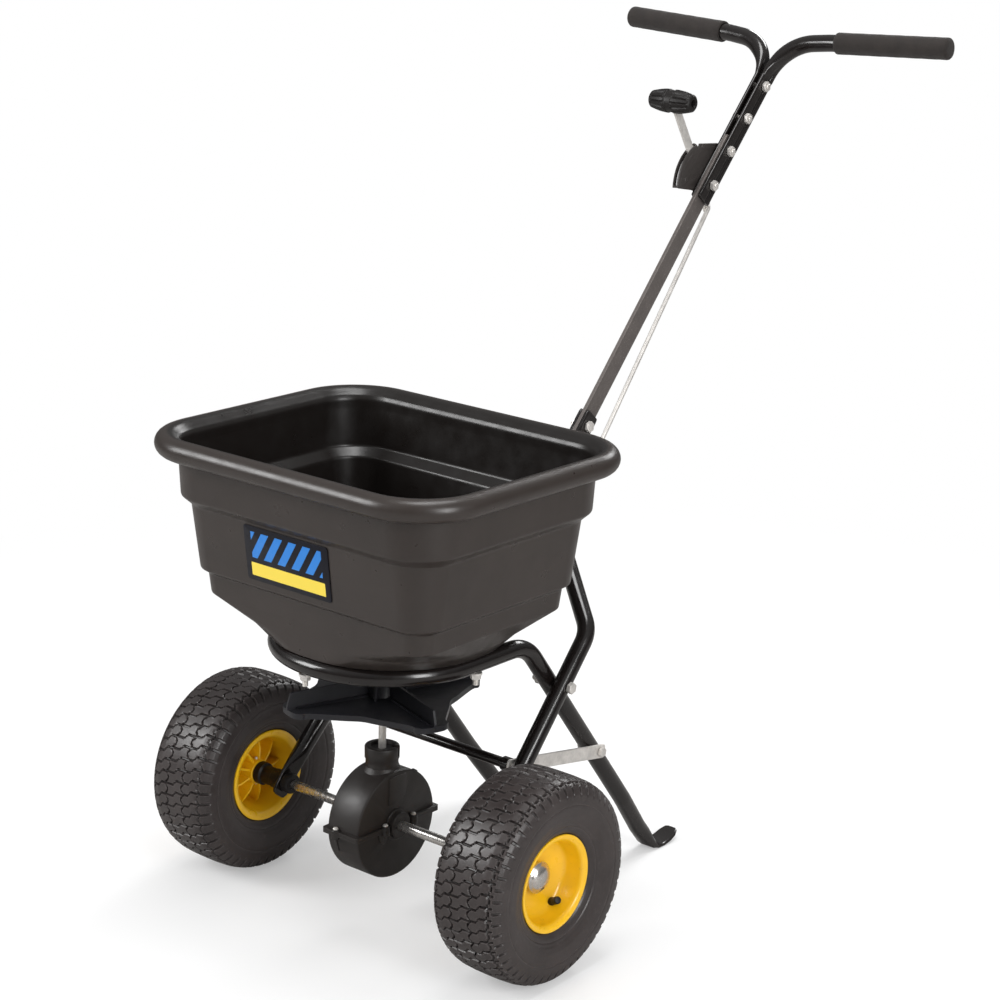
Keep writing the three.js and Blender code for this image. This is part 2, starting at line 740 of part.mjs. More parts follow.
function loft(levels) {
  const ring = levels.map((level) => new THREE.Vector2(level[0], level[4]));
  ring.push(ring[0].clone());
  const geometry = new THREE.LatheGeometry(ring, OUTLINE_POINTS);
  const position = geometry.attributes.position;
  for (let i = 0; i <= OUTLINE_POINTS; i += 1) {
    for (let j = 0; j < ring.length; j += 1) {
      const [x, y, z] = levelPoint(levels[j % levels.length], i % OUTLINE_POINTS);
      position.setXYZ(i * ring.length + j, x, y, z);
    }
  }
  return geometry;
}

function hopperTub() {
  const roll = [-115, -75, -35, 0, 35, 70, 105, 140].map((deg) => {
    const a = THREE.MathUtils.degToRad(deg);
    return rimLevel(14.1 + ROLL_R * Math.cos(a), ROLL_Z + ROLL_R * Math.sin(a));
  });
  const inner = [
    rimLevel(-WALL, 603), inset(LEVELS[7], 0), inset(LEVELS[6], 2), inset(LEVELS[5], 2), inset(LEVELS[4], 2),
    inset(LEVELS[3], 2), inset(LEVELS[2], 0), inset(LEVELS[1], 2), [138, 132, 128, 6, HOPPER_Z + 4],
    [60, 60, 59, 0, HOPPER_Z + 4], [60, 60, 59, 0, HOPPER_Z],
  ];
  const geometry = loft([...LEVELS, ...roll, ...inner]);
  let solid = toSolid(geometry);
  if (solid.volume() < 0) {
    solid = toSolid(flip(geometry));
  }
  return cut(
    solid,
    rodZ(360, HOPPER_Z + 2.9, HOLE_R, RING_R, 18, 10),
    rodZ(360, HOPPER_Z + 2.9, HOLE_R, -RING_R, 18, 10),
    rodZ(360, HOPPER_Z + 2.9, HOLE_R, -9, FRONT_BOLT_Y, 10),
  );
}

put('hopper_tub', 'hopper', hopperTub());

// Generic panel on the hopper's front.
function labelShape() {
  const plate = new THREE.BoxGeometry(136, 0.8, 69);
  plate.rotateX(THREE.MathUtils.degToRad(7.4));
  plate.translate(-14, -152.5, 490);
  return plate;
}

put('label', 'label', labelShape());

// Floor plate under the hopper opening and the sliding shut-off below it.
function port(x, y, rx, ry) {
  const shape = new THREE.Shape();
  shape.absellipse(x, y, rx, ry, 0, Math.PI * 2);
  const geometry = new THREE.ExtrudeGeometry(shape, { depth: 40, bevelEnabled: false, curveSegments: 5 });
  geometry.translate(0, 0, 350);
  return geometry;
}

put('hopper_base_plate', 'plastic', cut(
  turnedZ([[0, 369], [112, 369], [112, 372], [0, 372]], 36),
  rodZ(350, 380, 6.5, 0, 0, 16),
  port(-28, 6, 10, 14),
  port(28, 6, 10, 14),
));

function gateShape() {
  const plate = plateZ([
    [46, -56], [46, 52], [14, 84], [14, 236], [-14, 236], [-14, 84], [-46, 52], [-46, -56],
  ], 365.6, 368.6);
  const tab = plateX([[226, 366], [226, 388], [232, 394], [247, 394], [253, 388], [253, 366]], -16, -13);
  const foot = new THREE.BoxGeometry(30, 27, 3);
  foot.translate(-1, 239.5, 367.1);
  const shaftSlot = new THREE.BoxGeometry(15, 54, 20);
  shaftSlot.translate(0, -GATE_TRAVEL / 2, 367);
  const pinSlot = new THREE.BoxGeometry(20, ROD_R * 2 + 2.2, ROD_R * 2 + 7);
  pinSlot.rotateX(Math.atan2(ROD_TOP[1] - ROD_FOOT[1], ROD_TOP[0] - ROD_FOOT[0]));
  pinSlot.translate(-14, ...ROD_FOOT);
  return cut(
    join(plate, tab, foot),
    shaftSlot,
    pinSlot,
    port(-28, 6 - GATE_TRAVEL, 10, 14),
    port(28, 6 - GATE_TRAVEL, 10, 14),
  );
}

put('shutoff_gate', 'zinc', gateShape());

// Handle: flat post, two tubes bolted flat against it, grips.

const POST_END = [666.5 + 12, 893.6 + 15];

put('handle_post', 'post', plateX(
  flatStrip(alongHandle(BASE_BOLT, -22), POST_END, 25.4, 0),
  -2.5,
  2.5,
  [[...BASE_BOLT, HOLE_R], [...JOINT_BOLTS[0], HOLE_R], [...JOINT_BOLTS[1], HOLE_R]],
));

put('base_bolt', 'zinc', boltX(8.1, 5.5, 7.5, -18, ...BASE_BOLT, -8.1, 6, 7.5));

const GRIP_INNER = [83, 784.2, 1037.4];
const GRIP_OUTER = [261.4, 794.6, 1044.8];

function handleTube() {
  const start = alongHandle(JOINT_BOLTS[0], -26);
  const end = alongHandle(JOINT_BOLTS[3], 22);
  const flat = plateX(flatStrip(start, end, 27, 0), 2.9, 7.9);
  const [y1, z1] = alongHandle(JOINT_BOLTS[3], 14);
  const [y2, z2] = alongHandle(JOINT_BOLTS[3], 46);
  const last = new THREE.Vector3(...GRIP_INNER).lerp(new THREE.Vector3(...GRIP_OUTER), 0.975);
  const stations = bentStations([
    [14, y2, z2 - 1], [16, 781, 1026, 24, 6], [...GRIP_INNER, 200, 3], [last.x, last.y, last.z],
  ]);
  const round = tube(stations, 11.5);
  const squeeze = swage([14, y2 + 0.5, z2 - 0.5], [5.5, y1, z1], 11.4, 5, 27);
  const holes = JOINT_BOLTS.map(([y, z]) => rodX(-20, 20, HOLE_R, y, z, 10));
  return cut(join(flat, round, squeeze), ...holes);
}

const rightHandle = handleTube();
put('handle_tube_right', 'frame', rightHandle);
put('handle_tube_left', 'frame', mirrorX(rightHandle));

function gripShape() {
  const from = new THREE.Vector3(...GRIP_INNER).lerp(new THREE.Vector3(...GRIP_OUTER), 0.06);
  const to = new THREE.Vector3(...GRIP_OUTER);
  const length = from.distanceTo(to);
  const sleeve = turnedX([
    [length - 4, 0], [length - 4, 11.9], [0, 11.9], [0, 14], [1.5, 14.6],
    [length - 3, 14.6], [length, 11.5], [length, 0],
  ], 20);
  const along = to.clone().sub(from).normalize();
  sleeve.applyQuaternion(new THREE.Quaternion().setFromUnitVectors(new THREE.Vector3(1, 0, 0), along));
  sleeve.translate(from.x, from.y, from.z);
  return sleeve;
}

put('grip_right', 'foam', gripShape());
put('grip_left', 'foam', mirrorX(gripShape()));

put('handle_bolt_1', 'zinc', boltX(-8.2, 4, 7.5, 16, ...JOINT_BOLTS[1], 8.2, 6, 7.5));
put('handle_bolt_2', 'zinc', boltX(-8.2, 4, 7.5, 16, ...JOINT_BOLTS[2], 8.2, 6, 7.5));
put('handle_bolt_3', 'zinc', boltX(-8.2, 4, 7.5, 16, ...JOINT_BOLTS[3], 8.2, 6, 7.5));
put('pivot_bolt', 'zinc', boltX(-15.2, 4.5, 8, 16, ...JOINT_BOLTS[0], 8.2, 6, 7.5));

// Point beside the pivot: n is square to the handle toward the front, h is along the handle.
function besidePivot(n, h) {
  const [hy, hz] = HANDLE_DIR;
  return [JOINT_BOLTS[0][0] - hz * n + hy * h, JOINT_BOLTS[0][1] + hy * n + hz * h];
}

function arcPoints(radius, fromDeg, toDeg, count) {
  const points = [];
  for (let i = 0; i <= count; i += 1) {
    const a = THREE.MathUtils.degToRad(fromDeg + ((toDeg - fromDeg) * i) / count);
    points.push(besidePivot(radius * Math.cos(a), radius * Math.sin(a)));
  }
  return points;
}

// Sheet quadrant with a curved rim; the rate lever runs in the slot of the rim.
function quadrantShape() {
  const arc = arcPoints(57.6, -41, 34, 12);
  const outline = [
    besidePivot(-11, -12), besidePivot(13, -19.6), ...arc, besidePivot(11, 59.7), besidePivot(-11, 62),
  ];
  const face = plateX(outline.reverse(), -10.7, -8.2, [[...JOINT_BOLTS[0], HOLE_R]]);
  const rim = plateX([...arc, ...arcPoints(55.3, 34, -41, 12)].reverse(), -17, -8.2);
  const slot = plateX([...arcPoints(70, -38, 31, 10), ...arcPoints(50, 31, -38, 10)].reverse(), -15.2, -11);
  const bolt = rodX(-30, 0, 9, ...JOINT_BOLTS[1], 14);
  return cut(join(face, rim), slot, bolt);
}

put('quadrant', 'frame', quadrantShape());

// Rate lever: bell crank on the pivot bolt, knob at the long end, rod pin at the short end.
function leverShape() {
  const bar = plateX(flatStrip(besidePivot(2, 4), besidePivot(129.2, 43.3), 12.5, 0), -14.6, -11.6);
  const hub = rodX(-14.6, -11.6, 11, ...JOINT_BOLTS[0], 18);
  const [dy, dz] = [ROD_TOP[0] - JOINT_BOLTS[0][0], ROD_TOP[1] - JOINT_BOLTS[0][1]];
  const crankEnd = [JOINT_BOLTS[0][0] + dy, JOINT_BOLTS[0][1] + dz];
  const crank = plateX(flatStrip(JOINT_BOLTS[0], crankEnd, 14, 7.5), -14.6, -11.6);
  return cut(
    join(bar, hub, crank),
    rodX(-30, 0, HOLE_R, ...JOINT_BOLTS[0], 12),
    rodX(-30, 0, ROD_R + GAP, ...ROD_TOP, 12),
  );
}

put('rate_lever', 'zinc', leverShape());

function knobSlot() {
  return flatStrip(besidePivot(100.2, 34.35), besidePivot(129.6, 43.45), 13.1, 0);
}

function knobShape() {
  const profile = [
    [-33.5, 0], [-33.5, 9.5], [-31, 12], [-5, 15.7], [-4, 14.6], [4, 14.6], [5, 15.7], [31, 12], [33.5, 9.5],
    [33.5, 5], [24, 5], [24, 0],
  ];
  const [y, z] = besidePivot(129.2, 41.5);
  const body = turnedX(profile, 24).translate(-13.1, y, z);
  return cut(body, plateX(knobSlot(), -14.9, -11.3));
}

put('knob', 'plastic', knobShape());

function controlRod() {
  const stations = bentStations([
    [-19, ...ROD_FOOT], [ROD_X, ...ROD_FOOT, 4.2, 4], [ROD_X, ...ROD_KNEE, 30, 4],
    [ROD_X, ...ROD_TOP, 4.2, 4], [-18.5, ...ROD_TOP],
  ]);
  return tube(stations, ROD_R, 10);
}

put('control_rod', 'zinc', controlRod());

export default machine;
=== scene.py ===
"""Walk-behind spreader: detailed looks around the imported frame."""

import math

import bmesh
import bpy
from mathutils import Matrix, Vector


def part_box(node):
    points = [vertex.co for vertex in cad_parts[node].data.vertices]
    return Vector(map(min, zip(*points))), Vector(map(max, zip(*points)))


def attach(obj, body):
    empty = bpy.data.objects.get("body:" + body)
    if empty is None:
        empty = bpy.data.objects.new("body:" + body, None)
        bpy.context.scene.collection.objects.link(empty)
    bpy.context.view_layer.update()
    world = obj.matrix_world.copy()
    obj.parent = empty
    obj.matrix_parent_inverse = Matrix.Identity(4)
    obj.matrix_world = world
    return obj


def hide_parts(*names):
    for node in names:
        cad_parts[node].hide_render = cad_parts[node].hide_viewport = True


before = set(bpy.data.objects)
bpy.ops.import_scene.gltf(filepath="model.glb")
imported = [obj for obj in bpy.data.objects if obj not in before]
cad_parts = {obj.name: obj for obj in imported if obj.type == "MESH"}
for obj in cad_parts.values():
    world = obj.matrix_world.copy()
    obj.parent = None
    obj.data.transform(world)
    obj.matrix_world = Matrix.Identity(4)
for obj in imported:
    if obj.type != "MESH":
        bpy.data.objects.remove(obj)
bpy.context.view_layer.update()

MM = 0.001
WHEEL_R = 127.0
WHEEL_X = 238.6
HANDLE = (0.657, 0.754)
JOINTS = [(631.1, 850.9), (666.5, 893.6), (702.4, 934.8), (741.9, 974.9)]
BASE_BOLT = (378.0, 562.0)
RING_R, RING_Y, RING_Z, RING_TUBE = 132.4, 4.0, 360.0, 11.3
LEG_X, LEG_TOP, LEG_SLOPE = 132.6, 497.4, 1.26
FOOT_X = 127.0
SIDE_TUBE = 11.1
HOPPER_Z = 372.0
WALL = 3.5
IMPELLER_Z = 293.0
ARM_TURN = -19.0

axle_low, axle_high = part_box("axle")
ORIGIN = Vector((0.0, (axle_low.y + axle_high.y) / 2, (axle_low.z + axle_high.z) / 2 - WHEEL_R * MM))


def to_row(point):
    return Vector(point) * MM + ORIGIN


# ---------------------------------------------------------------- materials


def linear(r, g, b):
    def one(c):
        c /= 255.0
        return c / 12.92 if c <= 0.04045 else ((c + 0.055) / 1.055) ** 2.4

    return (one(r), one(g), one(b), 1.0)


def shade(color, factor):
    return (color[0] * factor, color[1] * factor, color[2] * factor, 1.0)


class Look:
    """A node material with small helpers for wiring."""

    def __init__(self, name):
        self.mat = bpy.data.materials.new(name)
        self.mat.use_nodes = True
        self.nodes = self.mat.node_tree.nodes
        self.links = self.mat.node_tree.links
        self.bsdf = self.nodes["Principled BSDF"]
        self.coord = self.nodes.new("ShaderNodeTexCoord").outputs["Object"]

    def node(self, kind, **values):
        made = self.nodes.new(kind)
        for key, value in values.items():
            if key in made.inputs:
                made.inputs[key].default_value = value
            else:
                setattr(made, key, value)
        return made

    def link(self, out, target):
        self.links.new(out, target)

    def stretched(self, sx, sy, sz):
        mapping = self.node("ShaderNodeMapping")
        mapping.inputs["Scale"].default_value = (sx, sy, sz)
        self.link(self.coord, mapping.inputs["Vector"])
        return mapping.outputs["Vector"]

    def noise(self, scale, detail=3.0, rough=0.5, vector=None):
        tex = self.node("ShaderNodeTexNoise", Scale=scale, Detail=detail, Roughness=rough)
        self.link(vector or self.coord, tex.inputs["Vector"])
        return tex.outputs["Fac"]

    def cells(self, scale, vector=None, feature="F1"):
        tex = self.node("ShaderNodeTexVoronoi", Scale=scale, feature=feature)
        self.link(vector or self.coord, tex.inputs["Vector"])
        return tex

    def math(self, operation, a, b=0.5, clamp=False):
        made = self.node("ShaderNodeMath", operation=operation, use_clamp=clamp)
        for socket, value in zip(made.inputs, (a, b)):
            if isinstance(value, (int, float)):
                socket.default_value = value
            else:
                self.link(value, socket)
        return made.outputs[0]

    def remap(self, value, lo, hi, out_lo, out_hi):
        made = self.node("ShaderNodeMapRange")
        made.inputs["From Min"].default_value = lo
        made.inputs["From Max"].default_value = hi
        made.inputs["To Min"].default_value = out_lo
        made.inputs["To Max"].default_value = out_hi
        self.link(value, made.inputs["Value"])
        return made.outputs[0]

    def mix(self, fac, a, b):
        made = self.nodes.new("ShaderNodeMix")
        made.data_type = "RGBA"
        for socket, value in ((made.inputs[0], fac), (made.inputs[6], a), (made.inputs[7], b)):
            if isinstance(value, (int, float)):
                socket.default_value = value
            elif isinstance(value, tuple):
                socket.default_value = value
            else:
                self.link(value, socket)
        return made.outputs[2]

    def edges(self, radius):
        """1 on convex and concave edges, 0 on open faces."""
        bevel = self.node("ShaderNodeBevel", samples=4)
        bevel.inputs["Radius"].default_value = radius
        plain = self.nodes.new("ShaderNodeNewGeometry")
        dot = self.nodes.new("ShaderNodeVectorMath")
        dot.operation = "DOT_PRODUCT"
        self.link(bevel.outputs["Normal"], dot.inputs[0])
        self.link(plain.outputs["Normal"], dot.inputs[1])
        return self.remap(dot.outputs["Value"], 0.995, 0.86, 0.0, 1.0)

    def bump(self, *layers):
        """Each layer is (height output, distance in metres, strength)."""
        normal = None
        for height, distance, strength in layers:
            made = self.node("ShaderNodeBump", Strength=strength, Distance=distance)
            self.link(height, made.inputs["Height"])
            if normal is not None:
                self.link(normal, made.inputs["Normal"])
            normal = made.outputs["Normal"]
        self.link(normal, self.bsdf.inputs["Normal"])
        return normal

    def color(self, value):
        if isinstance(value, tuple):
            self.bsdf.inputs["Base Color"].default_value = value
        else:
            self.link(value, self.bsdf.inputs["Base Color"])

    def set(self, **values):
        for key, value in values.items():
            socket = self.bsdf.inputs[key.replace("_", " ")]
            if isinstance(value, (int, float)):
                socket.default_value = value
            else:
                self.link(value, socket)
        return self


def moulded(name, base, rough, grain, wear=0.25, coat=0.0, mottle=0.10, inside=1.0, gloss=0.5, bite=0.35):
    """Moulded plastic: fine leather grain, soft cloudiness, paler worn edges, and with inside below 1 painted shade on
    the faces that face inwards.
    """
    look = Look(name)
    cloud = look.noise(9.0, 4.0, 0.6)
    tone = look.mix(look.remap(cloud, 0.3, 0.7, 0.0, 1.0), shade(base, 1 - mottle), shade(base, 1 + mottle))
    edge = look.math("MULTIPLY", look.edges(0.0016), look.remap(look.noise(160.0), 0.3, 0.7, 0.3, 1.0))
    edge = look.math("MULTIPLY", edge, wear)
    tone = look.mix(edge, tone, shade(base, 3.0))
    # Painted shade: faces marked by the inner attribute, those facing inwards, are darkened to inside times the base
    # colour.
    if inside < 1.0:
        inner = look.node("ShaderNodeAttribute", attribute_name="inner")
        tone = look.mix(inner.outputs["Fac"], tone, shade(base, inside))
    look.color(tone)
    look.set(Roughness=look.remap(look.noise(45.0, 4.0), 0.3, 0.7, rough - 0.05, rough + 0.07))
    look.set(Coat_Weight=coat, Coat_Roughness=0.15, Specular_IOR_Level=gloss)
    cells = look.cells(grain).outputs["Distance"]
    look.bump((cells, 0.0002, bite), (look.noise(26.0, 2.0), 0.0012, 0.08))
    return look.mat


def powder_coat(name, base, rough):
    """Gloss powder coat: orange peel, faint dust, bright rubbed edges."""
    look = Look(name)
    cloud = look.noise(14.0, 5.0, 0.65)
    tone = look.mix(look.remap(cloud, 0.35, 0.7, 0.0, 1.0), shade(base, 0.85), shade(base, 1.35))
    edge = look.math("MULTIPLY", look.edges(0.001), look.remap(look.noise(240.0), 0.45, 0.65, 0.0, 0.45))
    look.color(look.mix(edge, tone, linear(120, 114, 110)))
    look.set(Roughness=look.remap(look.noise(60.0, 4.0), 0.3, 0.7, rough - 0.04, rough + 0.08))
    look.set(Coat_Weight=0.3, Coat_Roughness=0.08, Specular_IOR_Level=0.5)
    look.bump((look.noise(420.0, 2.0), 0.0002, 0.10), (look.noise(35.0, 2.0), 0.0010, 0.05))
    return look.mat


def zinc(name, base, rough, metal):
    """Zinc plate: fine drawn lines, faint spangle, dull patches."""
    look = Look(name)
    spangle = look.cells(230.0).outputs["Color"]
    tone = look.mix(0.16, base, spangle)
    bw = look.node("ShaderNodeRGBToBW")
    look.link(tone, bw.inputs[0])
    patch = look.remap(look.noise(70.0, 5.0, 0.7), 0.35, 0.7, 0.0, 1.0)
    look.color(look.mix(patch, shade(base, 0.78), shade(base, 1.06)))
    drawn = look.noise(320.0, 2.0, 0.5, look.stretched(1.0, 0.08, 0.08))
    rough_map = look.math("ADD", look.remap(drawn, 0.3, 0.7, -0.05, 0.06), rough)
    rough_map = look.math("ADD", rough_map, look.remap(bw.outputs[0], 0.2, 0.8, -0.04, 0.04))
    look.set(Metallic=metal, Roughness=rough_map)
    look.bump((drawn, 0.00015, 0.12), (look.noise(900.0), 0.0001, 0.08))
    return look.mat


def make_looks():
    looks = {}
    # The hopper's inward-facing walls get painted shade at 0.3 of the base colour.
    looks["hopper_plastic"] = moulded("hopper_plastic", linear(48, 42, 39), 0.32, 1500.0, wear=0.35, inside=0.3, bite=0.12)
    looks["case_plastic"] = moulded("case_plastic", linear(36, 32, 30), 0.42, 1500.0, wear=0.3)
    looks["black_plastic"] = moulded("black_plastic", linear(24, 21, 20), 0.46, 1900.0, wear=0.08, gloss=0.36, bite=0.15)
    looks["impeller_plastic"] = moulded("impeller_plastic", linear(27, 27, 31), 0.34, 1700.0, wear=0.4)
    looks["satin_black"] = moulded("satin_black", linear(54, 50, 48), 0.36, 1900.0, wear=0.15, bite=0.15)
    looks["gear_plastic"] = moulded("gear_plastic", linear(206, 198, 180), 0.45, 1600.0, wear=0.1)
    looks["black_tube"] = powder_coat("black_tube", linear(20, 16, 15), 0.20)
    looks["zinc_steel"] = zinc("zinc_steel", linear(238, 234, 229), 0.40, 0.66)
    looks["bright_steel"] = zinc("bright_steel", linear(226, 223, 219), 0.22, 0.94)

    look = Look("grey_post")
    base = linear(98, 92, 89)
    cloud = look.noise(30.0, 5.0, 0.7, look.stretched(1.0, 0.5, 0.5))
    fleck = look.remap(look.noise(700.0, 2.0), 0.62, 0.75, 0.0, 1.0)
    tone = look.mix(look.remap(cloud, 0.3, 0.7, 0.0, 1.0), shade(base, 0.86), shade(base, 1.12))
    tone = look.mix(look.math("MULTIPLY", fleck, 0.35), tone, linear(190, 184, 180))
    # Painted highlight: all edges of the post are lightened.
    edge = look.math("MULTIPLY", look.edges(0.0012), 0.5)
    look.color(look.mix(edge, tone, linear(168, 162, 158)))
    look.set(Metallic=0.35, Roughness=look.remap(look.noise(80.0), 0.3, 0.7, 0.38, 0.52))
    look.bump((look.noise(800.0), 0.0002, 0.15))
    looks["grey_post"] = look.mat

    look = Look("foam_grip")
    base = linear(35, 29, 26)
    pores = look.cells(1400.0).outputs["Distance"]
    cloud = look.noise(40.0, 5.0, 0.7)
    tone = look.mix(look.remap(cloud, 0.3, 0.7, 0.0, 1.0), shade(base, 0.72), shade(base, 1.3))
    # Painted shade: the pores are darkened.
    tone = look.mix(look.remap(pores, 0.05, 0.35, 0.5, 0.0), tone, shade(base, 0.35))
    look.color(tone)
    look.set(Roughness=0.92, Sheen_Weight=0.06, Sheen_Roughness=0.6)
    look.bump((pores, 0.0005, 0.6), (look.noise(220.0, 4.0), 0.0006, 0.4))
    looks["foam_grip"] = look.mat

    look = Look("yellow_rim")
    base = linear(232, 180, 16)
    cloud = look.noise(16.0, 4.0)
    tone = look.mix(look.remap(cloud, 0.3, 0.7, 0.0, 1.0), shade(base, 0.9), shade(base, 1.08))
    dirt = look.remap(look.noise(120.0, 5.0, 0.7), 0.60, 0.78, 0.0, 0.35)
    look.color(look.mix(dirt, tone, linear(150, 100, 20)))
    look.set(Roughness=look.remap(look.noise(55.0), 0.3, 0.7, 0.26, 0.38), Coat_Weight=0.35, Coat_Roughness=0.12)
    look.bump((look.noise(380.0), 0.0002, 0.10), (look.noise(24.0), 0.0012, 0.05))
    looks["yellow_rim"] = look.mat

    look = Look("tyre_rubber")
    base = linear(52, 46, 45)
    cloud = look.noise(22.0, 6.0, 0.65)
    tone = look.mix(look.remap(cloud, 0.3, 0.7, 0.0, 1.0), shade(base, 0.72), shade(base, 1.2))
    dust = look.remap(look.noise(150.0, 6.0, 0.75), 0.55, 0.8, 0.0, 0.30)
    tone = look.mix(dust, tone, linear(98, 90, 88))
    # Painted highlight: the edges of the tread blocks and ribs are lightened.
    edge = look.math("MULTIPLY", look.edges(0.0016), 0.30)
    tone = look.mix(edge, tone, linear(120, 112, 110))
    # Painted shade: the tread grooves are darkened towards near black by their depth.
    groove = look.node("ShaderNodeAttribute", attribute_name="groove")
    look.color(look.mix(look.remap(groove.outputs["Fac"], 0.1, 0.9, 0.0, 0.85), tone, linear(16, 13, 13)))
    look.set(Roughness=look.remap(cloud, 0.3, 0.7, 0.30, 0.46), Specular_IOR_Level=0.55)
    look.bump((look.noise(900.0, 3.0), 0.0003, 0.35), (look.noise(90.0, 4.0), 0.0006, 0.2))
    looks["tyre_rubber"] = look.mat

    looks["label_print"] = label_look()
    return looks


def label_look():
    """Plain printed panel: navy field, slanted bars, one yellow band."""
    look = Look("label_print")
    low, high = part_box("label")
    split = look.nodes.new("ShaderNodeSeparateXYZ")
    look.link(look.coord, split.inputs[0])
    u = look.remap(split.outputs["X"], low.x, high.x, 0.0, 1.0)
    v = look.remap(split.outputs["Z"], low.z, high.z, 0.0, 1.0)
    slant = look.math("ADD", look.math("MULTIPLY", u, 6.0), look.math("MULTIPLY", v, -2.0))
    saw = look.math("FRACT", slant)
    bar = look.math("GREATER_THAN", saw, 0.46)
    inside = look.math("MULTIPLY", look.math("GREATER_THAN", v, 0.42), look.math("LESS_THAN", v, 0.90))
    inside = look.math("MULTIPLY", inside, look.math("GREATER_THAN", u, 0.08))
    inside = look.math("MULTIPLY", inside, look.math("LESS_THAN", u, 0.92))
    navy = look.mix(look.remap(look.noise(60.0), 0.3, 0.7, 0.0, 1.0), linear(5, 7, 18), linear(9, 11, 26))
    tone = look.mix(look.math("MULTIPLY", bar, inside), navy, linear(38, 120, 200))
    band = look.math("MULTIPLY", look.math("GREATER_THAN", v, 0.09), look.math("LESS_THAN", v, 0.33))
    band = look.math("MULTIPLY", band, look.math("GREATER_THAN", u, 0.06))
    band = look.math("MULTIPLY", band, look.math("LESS_THAN", u, 0.94))
    tone = look.mix(band, tone, linear(232, 206, 70))
    look.color(tone)
    look.set(Roughness=look.remap(look.noise(90.0), 0.3, 0.7, 0.32, 0.44), Specular_IOR_Level=0.35)
    look.bump((look.noise(600.0), 0.0001, 0.08))
    return look.mat


LOOKS = make_looks()

# ------------------------------------------------------------------- shapes
# A shape is (points in millimetres, faces). The axle centre is at y = 0, z = 127.


def lathe(profile, seg=64, closed=False, warp=None):
    """Turned shape about local X. Profile points are (along, radius)."""
    points, faces, rings = [], [], []
    for along, radius in profile:
        start = len(points)
        if radius < 1e-6:
            points.append((along, 0.0, 0.0))
            rings.append([start])
            continue
        for k in range(seg):
            t = 2 * math.pi * k / seg
            r = warp(along, radius, t) if warp else radius
            points.append((along, r * math.cos(t), r * math.sin(t)))
        rings.append(list(range(start, start + seg)))
    pairs = list(zip(rings, rings[1:]))
    if closed:
        pairs.append((rings[-1], rings[0]))
    for p, q in pairs:
        if len(p) == 1 and len(q) == 1:
            continue
        for k in range(seg):
            n = (k + 1) % seg
            if len(p) == 1:
                faces.append((p[0], q[n], q[k]))
            elif len(q) == 1:
                faces.append((p[k], p[n], q[0]))
            else:
                faces.append((p[k], p[n], q[n], q[k]))
    return points, faces


def place(shape, centre=(0, 0, 0), axis=(1, 0, 0), turn=0.0):
    """Turns local X onto axis, then moves the shape to centre."""
    spin = Vector((1, 0, 0)).rotation_difference(Vector(axis)).to_matrix()
    spin = spin @ Matrix.Rotation(turn, 3, "X")
    base = Vector(centre)
    return [tuple(spin @ Vector(p) + base) for p in shape[0]], shape[1]


def spun(shape, degrees, axis="Z", centre=(0, 0, 0)):
    turn = Matrix.Rotation(math.radians(degrees), 3, axis)
    base = Vector(centre)
    return [tuple(turn @ (Vector(p) - base) + base) for p in shape[0]], shape[1]


def moved(shape, dx=0.0, dy=0.0, dz=0.0):
    return [(x + dx, y + dy, z + dz) for x, y, z in shape[0]], shape[1]


def mirrored(shape):
    return [(-x, y, z) for x, y, z in shape[0]], shape[1]


def rod(a, b, radius, seg=24, chamfer=0.6):
    """Round bar from a to b with chamfered ends."""
    a, b = Vector(a), Vector(b)
    length = (b - a).length
    c = min(chamfer, radius * 0.4)
    profile = [(0, 0), (0, radius - c), (c, radius), (length - c, radius), (length, radius - c), (length, 0)]
    return place(lathe(profile, seg), a, (b - a) / length)


def prism(outline, lo, hi, axis="x"):
    """Flat outline pushed from lo to hi. Axis x takes (y, z) points, z takes (x, y), y takes (x, z)."""
    points = []
    for level in (lo, hi):
        for a, b in outline:
            points.append({"x": (level, a, b), "z": (a, b, level), "y": (a, level, b)}[axis])
    n = len(outline)
    faces = [tuple(range(n)), tuple(range(2 * n - 1, n - 1, -1))]
    faces += [(i, (i + 1) % n, n + (i + 1) % n, n + i) for i in range(n)]
    return points, faces


def rounded(outline, radius, steps=5):
    """Rounds every corner of a flat outline. Radius may be one number or one per corner."""
    made = []
    n = len(outline)
    for i, corner in enumerate(outline):
        r = radius[i] if isinstance(radius, (list, tuple)) else radius
        here = Vector(corner)
        to_prev = Vector(outline[i - 1]) - here
        to_next = Vector(outline[(i + 1) % n]) - here
        if r < 0.05:
            made.append(tuple(here))
            continue
        half = to_prev.angle(to_next) / 2
        if half > 1.5:
            made.append(tuple(here))
            continue
        reach = min(r / math.tan(half), to_prev.length * 0.48, to_next.length * 0.48)
        start = here + to_prev.normalized() * reach
        end = here + to_next.normalized() * reach
        for k in range(steps + 1):
            t = k / steps
            made.append(tuple(start * (1 - t) ** 2 + here * 2 * t * (1 - t) + end * t * t))
    return made


def strip(start, end, width, radius=3.0, steps=5):
    """Flat bar outline between two points, with rounded corners."""
    a, b = Vector(start), Vector(end)
    along = (b - a).normalized()
    side = Vector((-along.y, along.x)) * width / 2
    return rounded([tuple(a + side), tuple(a - side), tuple(b - side), tuple(b + side)], radius, steps)


def hexagon(height, radius, chamfer=0.9):
    """Six-sided nut or bolt head along local X, with both rims chamfered."""
    points, faces = [], []
    for along, r in ((0, radius - chamfer), (chamfer * 0.6, radius), (height - chamfer * 0.6, radius), (height, radius - chamfer)):
        for k in range(6):
            t = math.pi / 3 * k
            points.append((along, r * math.cos(t), r * math.sin(t)))
    for j in range(3):
        for k in range(6):
            n = (k + 1) % 6
            faces.append((j * 6 + k, j * 6 + n, j * 6 + 6 + n, j * 6 + 6 + k))
    faces += [(0, 5, 4, 3, 2, 1), (18, 19, 20, 21, 22, 23)]
    return points, faces


